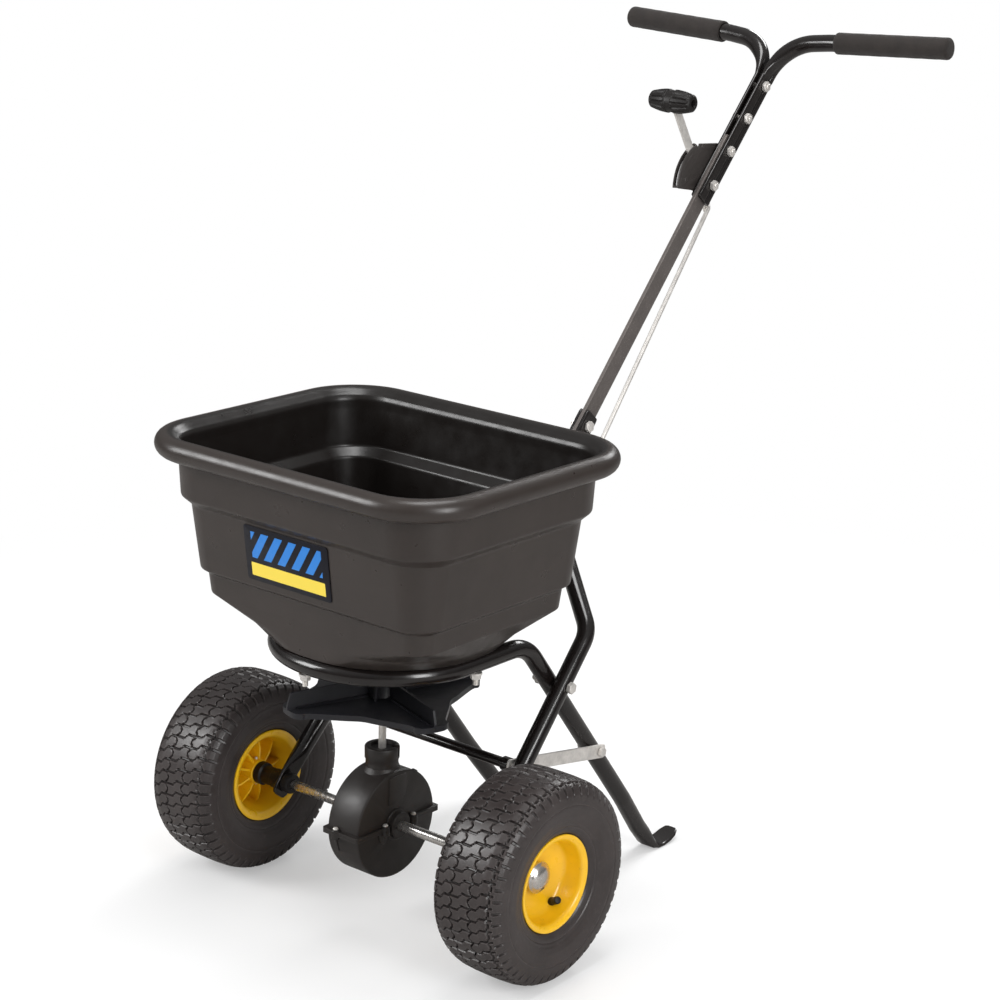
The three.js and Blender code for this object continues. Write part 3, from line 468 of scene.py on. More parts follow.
def threaded(length, radius, pitch=1.25, seg=20):
    """Bolt end along local X with ring-shaped thread crests."""
    profile = [(0, 0), (0, radius)]
    turns = max(1, int(length / pitch) - 1)
    for i in range(turns):
        a = i * pitch
        profile += [(a + pitch * 0.35, radius), (a + pitch * 0.7, radius - 0.55)]
    profile += [(length - 1.0, radius), (length, radius - 0.9), (length, 0)]
    return lathe(profile, seg)


def bent(corners, arc=9):
    """Path through corners (x, y, z, bend radius) with true arcs at the bends."""
    path = []
    for i, corner in enumerate(corners):
        here = Vector(corner[:3])
        radius = corner[3] if len(corner) > 3 else 0
        if i in (0, len(corners) - 1) or radius == 0:
            path.append(here)
            continue
        back = Vector(corners[i - 1][:3]) - here
        ahead = Vector(corners[i + 1][:3]) - here
        u, v = back.normalized(), ahead.normalized()
        half = u.angle(v) / 2
        reach = min(radius / math.tan(half), back.length * 0.9, ahead.length * 0.9)
        real = reach * math.tan(half)
        middle = here + (u + v).normalized() * (real / math.sin(half))
        p, q = here + u * reach - middle, here + v * reach - middle
        swing = p.angle(q)
        for k in range(arc + 1):
            t = k / arc
            path.append(middle + p * (math.sin((1 - t) * swing) / math.sin(swing)) + q * (math.sin(t * swing) / math.sin(swing)))
    return path


def rounded_ring(a, b, r, count):
    """Points of a rounded rectangle with half sizes a and b, evenly spaced from (a, 0)."""
    r = min(r, a, b)
    legs = [(b - r), math.pi / 2 * r, 2 * (a - r), math.pi / 2 * r, 2 * (b - r), math.pi / 2 * r, 2 * (a - r), math.pi / 2 * r, (b - r)]
    total = sum(legs)
    ring = []
    for k in range(count):
        s = total * k / count
        j = 0
        while j < 8 and s > legs[j]:
            s -= legs[j]
            j += 1
        if j == 0:
            ring.append((a, s))
        elif j == 8:
            ring.append((a, -(b - r) + s))
        elif j == 2:
            ring.append((a - r - s, b))
        elif j == 4:
            ring.append((-a, b - r - s))
        elif j == 6:
            ring.append((-a + r + s, -b))
        else:
            t = s / r if r > 0 else 0
            cx, cy, start = {1: (a - r, b - r, 0), 3: (-a + r, b - r, 90), 5: (-a + r, -b + r, 180), 7: (a - r, -b + r, 270)}[j]
            ang = math.radians(start) + t
            ring.append((cx + r * math.cos(ang), cy + r * math.sin(ang)))
    return ring


def sweep(stations, ref=(1, 0, 0), count=32, dent=None):
    """Tube along stations (point, half a, half b, corner radius). Half a lies along ref."""
    path = [Vector(s[0]) for s in stations]
    n = len(path)
    points, faces = [], []
    side = Vector(ref)
    for i in range(n):
        back = (path[i] - path[i - 1]).normalized() if i > 0 else Vector((0, 0, 0))
        ahead = (path[i + 1] - path[i]).normalized() if i < n - 1 else Vector((0, 0, 0))
        tangent = (back + ahead).normalized()
        side = (side - tangent * side.dot(tangent)).normalized()
        up = tangent.cross(side)
        _, a, b, r = stations[i]
        for k, (u, v) in enumerate(rounded_ring(a, b, r, count)):
            if dent:
                u = dent(i, u, v)
            points.append(tuple(path[i] + side * u + up * v))
    for i in range(n - 1):
        for k in range(count):
            m = (k + 1) % count
            faces.append((i * count + k, i * count + m, (i + 1) * count + m, (i + 1) * count + k))
    faces.append(tuple(range(count - 1, -1, -1)))
    faces.append(tuple(range((n - 1) * count, n * count)))
    return points, faces


def round_stations(path, radius, chamfer=0.8):
    """Round tube stations with softly broken ends."""
    made = []
    first = path[0] + (path[1] - path[0]).normalized() * chamfer
    last = path[-1] + (path[-2] - path[-1]).normalized() * chamfer
    small = radius - chamfer
    made.append((path[0], small, small, small))
    made.append((first, radius, radius, radius))
    made += [(p, radius, radius, radius) for p in path[1:-1]]
    made.append((last, radius, radius, radius))
    made.append((path[-1], small, small, small))
    return made


def smooth_step(t):
    return t * t * (3 - 2 * t)


# ------------------------------------------------------------------- pieces


def raw_object(name, shape):
    mesh = bpy.data.meshes.new(name)
    mesh.from_pydata([tuple(to_row(p)) for p in shape[0]], [], shape[1])
    bm = bmesh.new()
    bm.from_mesh(mesh)
    bmesh.ops.recalc_face_normals(bm, faces=bm.faces)
    bm.to_mesh(mesh)
    bm.free()
    obj = bpy.data.objects.new(name, mesh)
    bpy.context.scene.collection.objects.link(obj)
    return obj


def settle(obj):
    """Applies all modifiers of obj."""
    graph = bpy.context.evaluated_depsgraph_get()
    graph.update()
    mesh = bpy.data.meshes.new_from_object(obj.evaluated_get(graph))
    old = obj.data
    obj.modifiers.clear()
    obj.data = mesh
    bpy.data.meshes.remove(old)


def fused(name, shapes, cutters=()):
    """One closed body from overlapping closed shapes, less the cutters."""
    obj = raw_object(name, shapes[0])
    helpers = []
    for kind, group in (("UNION", shapes[1:]), ("DIFFERENCE", cutters)):
        for shape in group:
            helper = raw_object(name + "_helper", shape)
            helpers.append(helper)
            mod = obj.modifiers.new("join", "BOOLEAN")
            mod.operation = kind
            mod.solver = "MANIFOLD"
            mod.object = helper
    if helpers:
        settle(obj)
    for helper in helpers:
        mesh = helper.data
        bpy.data.objects.remove(helper)
        bpy.data.meshes.remove(mesh)
    return obj


def finish_piece(obj, body, slot, nodes, bevel=0.0, angle=32.0, look=None, segments=2):
    """Rounds the edges, shades, and registers the piece."""
    if bevel > 0:
        mod = obj.modifiers.new("edge", "BEVEL")
        mod.width = bevel * MM
        mod.segments = segments
        mod.limit_method = "ANGLE"
        mod.angle_limit = math.radians(angle)
        mod.use_clamp_overlap = True
        mod.miter_outer = "MITER_ARC"
        settle(obj)
    mesh = obj.data
    mesh.materials.clear()
    mesh.materials.append(LOOKS[look or slot])
    mesh.shade_smooth()
    mesh.set_sharp_from_angle(angle=math.radians(angle + 6))
    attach(obj, body)
    if nodes:
        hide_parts(*nodes)
    return obj


def piece(name, shapes, body, slot, nodes, cutters=(), bevel=0.0, angle=32.0, look=None, segments=2):
    obj = fused(name, shapes, cutters)
    return finish_piece(obj, body, slot, nodes, bevel, angle, look, segments)


def carry(node, slot, bevel=0.25):
    """A CAD node whose shape stays: softer edges and a node material."""
    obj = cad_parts[node]
    weld = obj.modifiers.new("weld", "WELD")
    weld.merge_threshold = 0.00001
    mod = obj.modifiers.new("edge", "BEVEL")
    mod.width = bevel * MM
    mod.segments = 2
    mod.limit_method = "ANGLE"
    mod.angle_limit = math.radians(32)
    if not obj.data.materials:
        obj.data.materials.append(LOOKS[slot])
    for i in range(len(obj.data.materials)):
        obj.data.materials[i] = LOOKS[slot]


# ------------------------------------------------------------------- wheels

TREAD_PITCHES = 52
TREAD_SEG = TREAD_PITCHES * 12
PITCH = 2 * math.pi * WHEEL_R / TREAD_PITCHES
GROOVE = 4.2


def tyre_profile():
    """Half section of the tyre from crown to bead: (offset from the middle, radius)."""
    key = [
        (0, 127), (15, 126.9), (30, 126), (38, 124.2), (43, 121.5), (47, 117), (49.6, 110.5), (50.8, 102), (50.6, 94),
        (49, 84), (45.6, 73.5), (43.2, 66.6), (41.0, 62.6), (38.8, 61.2), (37.1, 59.4),
    ]
    made = []
    for (x0, r0), (x1, r1) in zip(key, key[1:]):
        steps = max(1, int(math.hypot(x1 - x0, r1 - r0) / 1.5))
        for k in range(steps):
            made.append((x0 + (x1 - x0) * k / steps, r0 + (r1 - r0) * k / steps))
    made.append(key[-1])
    return made


def channel(distance, half_width):
    """1 inside a groove, 0 outside, with a short sloped wall. Distances are in millimetres."""
    return max(0.0, min(1.0, (half_width + 0.7 - abs(distance)) / 0.9))


def wave(turns):
    """Trapezoid wave between -1 and 1."""
    return max(-1.0, min(1.0, 1.7 * (abs(((turns + 0.25) % 1.0) * 4 - 2) - 1)))


def from_line(turns):
    """Distance in millimetres to the nearest whole turn of the pitch."""
    return (abs(((turns + 0.5) % 1.0) - 0.5)) * PITCH


def groove_depth(x, r, t):
    """How far the rubber is cut back at offset x, radius r and turn t."""
    turns = t * TREAD_PITCHES / (2 * math.pi)
    side = 1 if x >= 0 else -1
    ax = abs(x)
    if ax < 43.5 and r > 100:
        border = 14.0 + 2.0 * wave(turns + (0.0 if side > 0 else 0.5))
        deep = channel(ax - border, 0.5)
        if ax < border:
            shift = 0.21 * max(-1.0, min(1.0, x / 2.4))
            deep = max(deep, channel(from_line(turns + shift), 0.55))
        else:
            shift = 0.5 + 0.21 * max(-1.0, min(1.0, (ax - 26.5) / 2.4)) * side
            deep = max(deep, channel(from_line(turns + shift), 0.6))
            outer = 38.6 + 1.4 * wave(turns * 1.0)
            deep = max(deep, channel(ax - outer, 0.45) * 0.9)
        return GROOVE * deep
    if r > 108:
        fade = min(1.0, (r - 108) / 8.0)
        return 2.6 * channel(from_line(turns + 0.25), 1.7) * fade
    if 98.6 < r < 100.4:
        return -0.7
    if 68.4 < r < 71.0:
        return -1.1
    if 74.6 < r < 76.0:
        return -0.5
    return 0.0


def tyre_shape():
    """Tyre with its tread cut in, and the groove depth at each point, which drives the painted shade in the grooves."""
    half = tyre_profile()
    outer = [(-x, r) for x, r in reversed(half[1:])] + half
    inner = [
        (36.7, 53.2), (29, 53.2), (34, 74), (42, 98), (31, 116), (0, 119), (-31, 116), (-42, 98), (-34, 74), (-29, 53.2),
        (-36.7, 53.2),
    ]
    points, faces = lathe(outer + inner, TREAD_SEG, closed=True)
    depths = [0.0] * len(points)
    for j, (along, radius) in enumerate(outer):
        lean = min(1.0, max(0.0, (abs(along) - 40) / 10.0))
        for k in range(TREAD_SEG):
            t = 2 * math.pi * k / TREAD_SEG
            cut = groove_depth(along, radius, t)
            if cut == 0.0:
                continue
            r = radius - cut * (1 - lean * 0.8)
            x = along - math.copysign(cut * lean, along)
            points[j * TREAD_SEG + k] = (x, r * math.cos(t), r * math.sin(t))
            depths[j * TREAD_SEG + k] = max(0.0, cut / GROOVE)
    return points, faces, depths


def rim_shapes(pinned):
    profile = [
        (-26, 6.9), (-26, 15.2), (-25, 16), (0, 17.6), (1.6, 19), (3.6, 42.5), (2.6, 44.6), (-35.6, 49.6), (-38.2, 51.6), (-40.2, 55.2),
        (-41.0, 59.0), (-40.6, 60.2), (-39.4, 60.5), (-38.2, 60.0), (-37.4, 57.0), (-36.4, 52.8), (36.4, 52.8), (37.4, 57.0),
        (38.2, 60.0), (39.4, 60.5), (40.6, 60.2), (41.0, 59.0), (40.4, 56.4), (39.0, 53.6), (37, 52.0), (34, 51.2), (19, 49.2),
        (15.0, 47.6), (12.4, 44.4), (9.2, 32),
        (8, 26), (7.7, 19), (7.7, 6.9),
    ]
    shapes = [lathe(profile, 108, closed=True)]
    for i in range(9):
        outline = rounded([(-21.8, 15.2), (4, 15.2), (4, 46.5), (-13, 46.5), (-20, 30)], [0.2, 0.2, 0.2, 4, 5], 4)
        web = prism([(x, z) for x, z in outline], -1.4, 1.4, "y")
        turn = Matrix.Rotation(i / 9 * 2 * math.pi + 0.17, 3, "X")
        shapes.append(([tuple(turn @ Vector(p)) for p in web[0]], web[1]))
    return shapes


def build_wheels():
    hub_profile = [
        (7.9, 0), (7.9, 17.6), (12.4, 17.6), (12.8, 19.4), (13.6, 19.8), (14.8, 19.6), (15.6, 18.8), (16.0, 17.8), (18.4, 16.2),
        (20.6, 13.0), (22.2, 8.6), (22.9, 3.6), (23, 0),
    ]
    points, faces, depths = tyre_shape()
    for side, sign, body in (("right", 1, "free_wheel"), ("left", -1, "axle")):
        centre = (sign * WHEEL_X, 0, WHEEL_R)
        face = (lambda s: s) if sign > 0 else (lambda s: spun(s, 180, "Z"))
        obj = raw_object("tyre_" + side + "_tread", moved(face((points, faces)), *centre))
        # The groove depth is stored for the painted shade in the tread grooves.
        groove = obj.data.attributes.new("groove", "FLOAT", "POINT")
        groove.data.foreach_set("value", depths)
        finish_piece(obj, body, "tyre_rubber", ["tyre_" + side], angle=28)
        shapes = [moved(face(s), *centre) for s in rim_shapes(sign < 0)]
        piece("rim_" + side + "_disc", shapes, body, "yellow_rim", ["rim_" + side], bevel=0.5, angle=34)
        cap = moved(face(lathe(hub_profile, 40)), *centre)
        piece("hub_cap_" + side + "_dome", [cap], body, "zinc_steel", ["hub_cap_" + side], angle=60, look="bright_steel")
        build_valve(side, face, centre, body)


def build_valve(side, face, centre, body):
    start, end = Vector((14.2, 0, 47.4)), Vector((29.0, 0, 37.0))
    way = (end - start).normalized()
    stem = place(lathe([(0, 0), (0, 5.4), (3.5, 4.9), (5.4, 3.9), (10, 3.7), (10, 0)], 24), start, way)

    def ribs(along, radius, t):
        return radius - 0.4 * (0.5 + 0.5 * math.cos(12 * t)) if 1.0 < along < 8.2 else radius

    cap = lathe([(0, 0), (0, 4.3), (0.8, 4.7), (1.2, 4.8), (8.2, 4.7), (9.4, 3.8), (9.4, 0)], 48, warp=ribs)
    cap = place(cap, start + way * 8.2, way)
    shapes = []
    for shape in (stem, cap):
        turn = Matrix.Rotation(math.radians(-147), 3, "X")
        shape = ([tuple(turn @ Vector(p)) for p in shape[0]], shape[1])
        shapes.append(moved(face(shape), *centre))
    piece("valve_" + side + "_stem", shapes, body, "black_plastic", ["valve_" + side], bevel=0.15)


def build_axle():
    line = rod((-250, 0, WHEEL_R), (250, 0, WHEEL_R), 6.35, 32, 1.0)
    piece("axle_bar", [line], "axle", "zinc_steel", ["axle"], angle=40, look="bright_steel")
    pin_x = -(WHEEL_X - 18)
    piece("wheel_pin_bar", [rod((pin_x, 0, 108), (pin_x, 0, 146), 2.0, 16, 0.5)], "axle", "zinc_steel", ["wheel_pin"], angle=40)
    bush = [(153, 6.65), (153, 11.6), (153.9, 12.6), (155.2, 13), (163.4, 13), (164.2, 12.4), (164.4, 8.8), (170.8, 8.8), (170.8, 6.65)]
    spacer = [(171.2, 6.65), (171.2, 12.2), (172, 13), (184, 13), (185.2, 12.4), (186, 12), (201, 12), (203, 14.6), (211.2, 15),
              (212.2, 14.2), (212.2, 6.65)]
    for side, sign in (("right", 1), ("left", -1)):
        face = (lambda s: s) if sign > 0 else mirrored
        ring = face(moved(lathe(bush, 40, closed=True), 0, 0, WHEEL_R))
        piece("axle_bush_" + side + "_ring", [ring], "frame", "black_plastic", ["axle_bush_" + side], angle=30)
        ring = face(moved(lathe(spacer, 40, closed=True), 0, 0, WHEEL_R))
        piece("wheel_spacer_" + side + "_sleeve", [ring], "frame", "black_plastic", ["wheel_spacer_" + side], angle=30)


# ------------------------------------------------------------------ gearbox

CASE_R = 69.5
SCREWS = [(-8, -73.2), (29.2, -24), (29.2, 27), (-29.2, -24), (-29.2, 27), (8, 73.2)]


def case_half(upper):
    sign = 1 if upper else -1
    drum = [(-25.5, 0), (-25.5, 66.5), (-24.6, 68.6), (-22.6, 69.5), (22.6, 69.5), (24.6, 68.6), (25.5, 66.5), (25.5, 0)]
    shapes = [lathe(drum, 96)]
    shapes.append(lathe([(-34, 0), (-34, 15.4), (-33.2, 16.5), (33.2, 16.5), (34, 15.4), (34, 0)], 48))
    shapes.append(lathe([(-28, 0), (-28, 19.6), (-27.2, 20.6), (27.2, 20.6), (28, 19.6), (28, 0)], 64))
    lip = rounded([(29.4, -75), (29.4, 75), (-29.4, 75), (-29.4, -75)], 4.0, 4)
    shapes.append(prism(lip, -3.4 if not upper else -1, 1 if not upper else 3.4, "z"))
    for x, y in SCREWS:
        lo, hi = (-2, 4.9) if upper else (-7, 2)
        shapes.append(place(lathe([(lo, 0), (lo, 5.2), (lo + 0.6, 5.6), (hi - 0.6, 5.6), (hi, 5.0), (hi, 0)], 24), (x, y, 0), (0, 0, 1)))
    cutters = [lathe([(-22.3, 0), (-22.3, 66), (22.3, 66), (22.3, 0)], 64), lathe([(-40, 0), (-40, 6.65), (40, 6.65), (40, 0)], 32)]
    if upper:
        neck = [(60, 0), (60, 20.8), (80, 20.4), (82, 21.6), (95.6, 21.8), (97, 21.2), (97.5, 20.2), (97.5, 0)]
        shapes.append(place(lathe(neck, 64), (0, 0, 0), (0, 0, 1)))
        shapes.append(place(lathe([(64, 0), (64, 24.5), (72, 21.4), (72, 0)], 64), (0, 0, 0), (0, 0, 1)))
        cutters.append(place(lathe([(90, 0), (90, 15), (100, 15), (100, 0)], 40), (0, 0, 0), (0, 0, 1)))
        cutters.append(place(lathe([(40, 0), (40, 9.3), (100, 9.3), (100, 0)], 32), (0, 0, 0), (0, 0, 1)))
        slot = prism([(-3.6, 84), (3.6, 84), (3.6, 99), (-3.6, 99)], -26, -12, "x")
        cutters.append(spun(slot, 205))
        pad = rounded([(-15, 64), (15, 64), (15, 36), (-5, 27), (-15, 27)], 1.5, 3)
        shapes.append(prism(pad, -27.2, 27.2, "x"))
        shapes.append(place(lathe([(0, 0), (0, 4.6), (4.4, 3.8), (5, 3.2), (5, 0)], 24), (12, 45, 50), (0, 0.62, 0.78)))
    else:
        for x in (28.2, -28.2):
            gusset = [(-36, 0.5), (-15, 0.5), (-15, -7), (-24, -20), (-30, -16)]
            lo, hi = (x - 3.2, x) if x > 0 else (x, x + 3.2)
            shapes.append(prism(gusset, lo, hi, "x"))
        for y in (1, -1):
            shapes.append(prism([(60 * y, 0.5), (74.6 * y, 0.5), (72.5 * y, -6), (66 * y, -26), (60 * y, -26)], -13, -9, "x"))
    keep = prism([(-60, -120), (60, -120), (60, 120), (-60, 120)], 0.15 if upper else -120, 130 if upper else -0.15, "z")
    for x, y in SCREWS:
        cutters.append(place(lathe([(-7 if not upper else -10, 0), (-7 if not upper else -10, 2.3), (20, 2.3), (20, 0)], 12), (x, y, 0), (0, 0, 1)))
    return shapes, cutters, keep


def build_gearbox():
    for upper, name in ((True, "gearbox_upper"), (False, "gearbox_lower")):
        shapes, cutters, keep = case_half(upper)
        lift = lambda s: moved(s, 0, 0, WHEEL_R)
        obj = fused(name + "_shell", [lift(s) for s in shapes], [lift(c) for c in cutters])
        helper = raw_object("keep", lift(keep))
        mod = obj.modifiers.new("half", "BOOLEAN")
        mod.operation = "INTERSECT"
        mod.solver = "MANIFOLD"
        mod.object = helper
        settle(obj)
        bpy.data.objects.remove(helper)
        finish_piece(obj, "frame", "case_plastic", [name], bevel=0.5, angle=34)
    for i, (x, y) in enumerate(SCREWS[:4]):
        head = place(lathe([(5.3, 0), (5.3, 3.4), (6.6, 3.4), (7.6, 2.6), (8.1, 1.4), (8.2, 0)], 24), (x, y, WHEEL_R), (0, 0, 1))
        shank = place(lathe([(-6.5, 0), (-6.5, 1.9), (6, 1.9), (6, 0)], 12), (x, y, WHEEL_R), (0, 0, 1))
        slot = [(x - 4, WHEEL_R + 7.4), (x + 4, WHEEL_R + 7.4), (x + 4, WHEEL_R + 9), (x - 4, WHEEL_R + 9)]
        piece("gearbox_screw_%d_pan" % (i + 1), [head, shank], "frame", "zinc_steel", ["gearbox_screw_%d" % (i + 1)], cutters=[prism(slot, y - 0.4, y + 0.4, "y")], angle=30)


# ----------------------------------------------------------------- impeller


def star(scale):
    corner = [(112, -24.5), (121.5, -22.6), (127.6, -16.5), (130, -8), (130, 8), (127.6, 16.5), (121.5, 22.6), (112, 24.5)]
    key = []
    for k in range(4):
        a = math.radians(ARM_TURN + 90 * k)
        for u, v in corner:
            key.append((scale * (u * math.cos(a) - v * math.sin(a)), scale * (u * math.sin(a) + v * math.cos(a))))
        for shift, r in ((32, 92), (45, 86), (58, 92)):
            b = a + math.radians(shift)
            key.append((scale * r * math.cos(b), scale * r * math.sin(b)))
    made = []
    n = len(key)
    for i in range(n):
        p0, p1, p2, p3 = (Vector(key[(i + d) % n]) for d in (-1, 0, 1, 2))
        for k in range(4):
            t = k / 4
            made.append(tuple(0.5 * (2 * p1 + (p2 - p0) * t + (2 * p0 - 5 * p1 + 4 * p2 - p3) * t * t + (3 * p1 - p0 - 3 * p2 + p3) * t ** 3)))
    return made


def build_impeller():
    def up(shape):
        return moved(shape, 0, 0, IMPELLER_Z)

    hub = [(-10, 0), (-10, 13.4), (-9.4, 14), (-2, 14), (-2, 21.6), (0.4, 22.4), (3, 21.2), (18, 20.2), (19, 21), (19, 24.4), (19.7, 25), (22.4, 25), (23, 24.2), (23, 11.4), (23.6, 10.6), (51, 10.2), (52, 9.4), (52, 0)]
    shapes = [up(prism(star(1.0), -7, 0, "z")), up(place(lathe(hub, 56), (0, 0, 0), (0, 0, 1)))]
    for k in range(4):
        turn = ARM_TURN + 90 * k - 90
        fin = prism(rounded([(15, -1), (15, 22), (126, 20.5), (131, 3), (130, -4), (126, -2)], [0.1, 0.1, 3, 2, 1, 0.1], 4), -1.5, 1.5, "x")
        shapes.append(up(spun(fin, turn)))
        for x in (-4.6, 3.4):
            rib = prism([(18, -1), (18, 2.6), (118, 2.2), (121, -1)], x, x + 1.2, "x")
            shapes.append(up(spun(rib, turn)))
        flange = prism([(15, -1), (15, 18), (26, 18), (34, -1)], -1.2, 1.2, "x")
        shapes.append(up(spun(flange, turn + 45)))
    cutters = [up(prism(star(0.976), -9, -3, "z")), up(place(lathe([(-20, 0), (-20, 5.05), (60, 5.05), (60, 0)], 32), (0, 0, 0), (0, 0, 1)))]
    cutters.append(rod((-30, 0, 335), (30, 0, 335), 1.8, 16, 0.1))
    back = fused("impeller_vanes", shapes, cutters)
    core = up(place(lathe([(-9.8, 0), (-9.8, 14), (-2.5, 14), (-2.5, 0)], 48), (0, 0, 0), (0, 0, 1)))
    bore = up(place(lathe([(-20, 0), (-20, 5.05), (60, 5.05), (60, 0)], 32), (0, 0, 0), (0, 0, 1)))
    boss = fused("boss", [core], [bore])
    mod = back.modifiers.new("join", "BOOLEAN")
    mod.operation, mod.solver, mod.object = "UNION", "MANIFOLD", boss
    settle(back)
    bpy.data.objects.remove(boss)
    finish_piece(back, "rotor", "black_plastic", ["impeller"], bevel=0.45, angle=34, look="impeller_plastic")
    piece("impeller_shaft_bar", [rod((0, 0, 160), (0, 0, 400), 4.75, 32, 1.0)], "rotor", "zinc_steel", ["impeller_shaft"], cutters=[rod((-30, 0, 335), (30, 0, 335), 1.8, 16, 0.1)], angle=40)
    piece("impeller_pin_bar", [rod((-14, 0, 335), (14, 0, 335), 1.5, 16, 0.4)], "rotor", "zinc_steel", ["impeller_pin"], angle=40)
    arms = [rod((6.4 * s, 0, 385), (42 * s, 0, 392), 2, 16, 0.8) for s in (1, -1)]
    collar = place(lathe([(380, 5.05), (380, 7.6), (380.5, 8), (389.5, 8), (390, 7.6), (390, 5.05)], 32, closed=True), (0, 0, 0), (0, 0, 1))
    piece("agitator_wire", [collar] + arms, "rotor", "zinc_steel", ["agitator"], angle=40)


# -------------------------------------------------------------------- frame


def leg_point(y, x=LEG_X):
    return (x, y, LEG_TOP - LEG_SLOPE * y)


def build_ring():
    corner = (LEG_X, (LEG_TOP - RING_Z) / LEG_SLOPE, RING_Z, 56)
    low = leg_point(362, FOOT_X + 0.6)
    half = [Vector(low)] + [Vector(p) for p in bent([low, (*leg_point(320), 110), corner, (RING_R, RING_Y, RING_Z)], 10)[1:]]
    path = list(half)
    for i in range(1, 40):
        a = -math.pi * i / 40
        path.append(Vector((RING_R * math.cos(a), RING_Y + RING_R * math.sin(a), RING_Z)))
    path += [Vector((-p.x, p.y, p.z)) for p in reversed(half)]
    middle = [(p, RING_TUBE, RING_TUBE, RING_TUBE) for p in path]
    foot = [
        ((FOOT_X, 443.5, 12.2), 6.5, 1.2, 1.2), ((FOOT_X, 441.5, 11.4), 10, 1.7, 1.6), ((FOOT_X, 434, 8.0), 13.2, 2.0, 1.9),
        ((FOOT_X, 424, 4.8), 14.2, 2.1, 2.0), ((FOOT_X, 411, 2.3), 14.4, 2.2, 2.1), ((FOOT_X, 399, 2.5), 14.2, 2.4, 2.2),
        ((FOOT_X, 391.5, 6.2), 13.6, 4.4, 3.8), ((FOOT_X, 384, 14.4), 12.8, 7.4, 6.6), ((FOOT_X + 0.2, 374, 27.4), 11.9, 10.2, 9.6),
    ]
    near = [(Vector(p), a, b, r) for p, a, b, r in foot]
    far = [(Vector((-p.x, p.y, p.z)), a, b, r) for p, a, b, r in near]
    shape = sweep(near + middle + list(reversed(far)), (1, 0, 0), 36)
    piece("ring_frame_tube", [shape], "frame", "black_tube", ["ring_frame"], angle=44)


def side_point(y):
    return (164.6 - 0.06 * y, y, 136.6 + 1.06 * y)


def along_handle(start, distance):
    return (start[0] + HANDLE[0] * distance, start[1] + HANDLE[1] * distance)


def build_side_tubes():
    low = side_point(30)
    top = (14.0, *along_handle(BASE_BOLT, -50))
    turn = (15.2, *along_handle(BASE_BOLT, -122), 38)
    path = bent([low, (*side_point(208), 44), turn, top], 10)
    R = SIDE_TUBE
    stations = []
    tab = [((167.6, -13.2, 111.6), 1.9, 6.5, 1.6), ((167.6, -12.2, 112.8), 2.5, 10.6, 2), ((167.6, -9.2, 116.6), 2.7, 13.6, 2.2), ((167.6, -4, 123), 2.7, 14.5, 2.4), ((167.6, 5, 135), 2.8, 14.3, 2.6)]
    stations += [(Vector(p), a, b, r) for p, a, b, r in tab]
    a0, b0 = Vector((167.6, 5, 135)), path[0]
    for k in range(1, 6):
        t = smooth_step(k / 6)
        stations.append((a0.lerp(b0, k / 6), 2.8 + (R - 2.8) * t, 14.3 + (R - 14.3) * t, 2.6 + (R - 2.6) * t))
    stations += [(p, R, R, R) for p in path]
    end = Vector((5.3, *along_handle(BASE_BOLT, -20)))
    for k in range(1, 7):
        t = smooth_step(k / 7)
        stations.append((path[-1].lerp(end, k / 7), R + (2.4 - R) * t, R + (13.2 - R) * t, R + (2.3 - R) * t))
    for d, b in ((-20, 13.3), (-4, 13.5), (8, 13.5), (13.5, 13.4), (16.5, 13.0), (17.6, 12.2)):
        stations.append((Vector((5.3, *along_handle(BASE_BOLT, d))), 2.4 if d < 16 else 1.8, b, 2.2 if d < 16 else 1.6))
    shape = sweep(stations, (1, 0, 0), 36)
    bolts = [rod((0, *BASE_BOLT), (30, *BASE_BOLT), 4.4, 24, 0.1)]
    notch = moved(lathe([(140, 0), (140, 13.4), (164.8, 13.4), (164.8, 9.1), (180, 9.1), (180, 0)], 40), 0, 0, WHEEL_R)
    for side, face in (("right", lambda s: s), ("left", mirrored)):
        cutters = [face(c) for c in bolts + [notch]]
        piece("side_tube_" + side + "_run", [face(shape)], "frame", "black_tube", ["side_tube_" + side], cutters=cutters, angle=40)


def bolt_shapes(head_x, head_h, head_r, end_x, nut_x, nut_h, nut_r, dome, washer=0.0):
    """Bolt along X: head outside head_x, thread to end_x, nut starting at nut_x."""
    way = 1 if end_x > head_x else -1
    shapes = []
    if dome:
        profile = [(0, 0), (0, head_r), (head_h * 0.25, head_r), (head_h * 0.6, head_r * 0.86), (head_h * 0.88, head_r * 0.56), (head_h, head_r * 0.2), (head_h + 0.05, 0)]
        shapes.append(place(lathe(profile, 36), (head_x, 0, 0), (-way, 0, 0)))
    else:
        shapes.append(place(hexagon(head_h, head_r), (head_x, 0, 0), (-way, 0, 0), 0.3))
    start = head_x - way * 0.8
    shapes.append(place(threaded(abs(end_x - start), 4.0), (start, 0, 0), (way, 0, 0)))
    if nut_x is not None:
        shapes.append(place(hexagon(nut_h, nut_r), (nut_x, 0, 0), (way, 0, 0), 0.5))
    if washer:
        at = head_x if nut_x is None else nut_x
        sign = way if nut_x is not None else -way
        shapes.append(place(lathe([(-0.05, 0), (-0.05, washer), (1.1, washer), (1.4, washer - 0.4), (1.4, 0)], 36), (at, 0, 0), (sign, 0, 0)))
    return shapes


def add_bolt(node, spot, mirror=False, **numbers):
    shapes = [moved(s, 0, *spot) for s in bolt_shapes(**numbers)]
    if mirror:
        shapes = [mirrored(s) for s in shapes]
    piece(node + "_set", shapes, "frame", "zinc_steel", [node], angle=30)


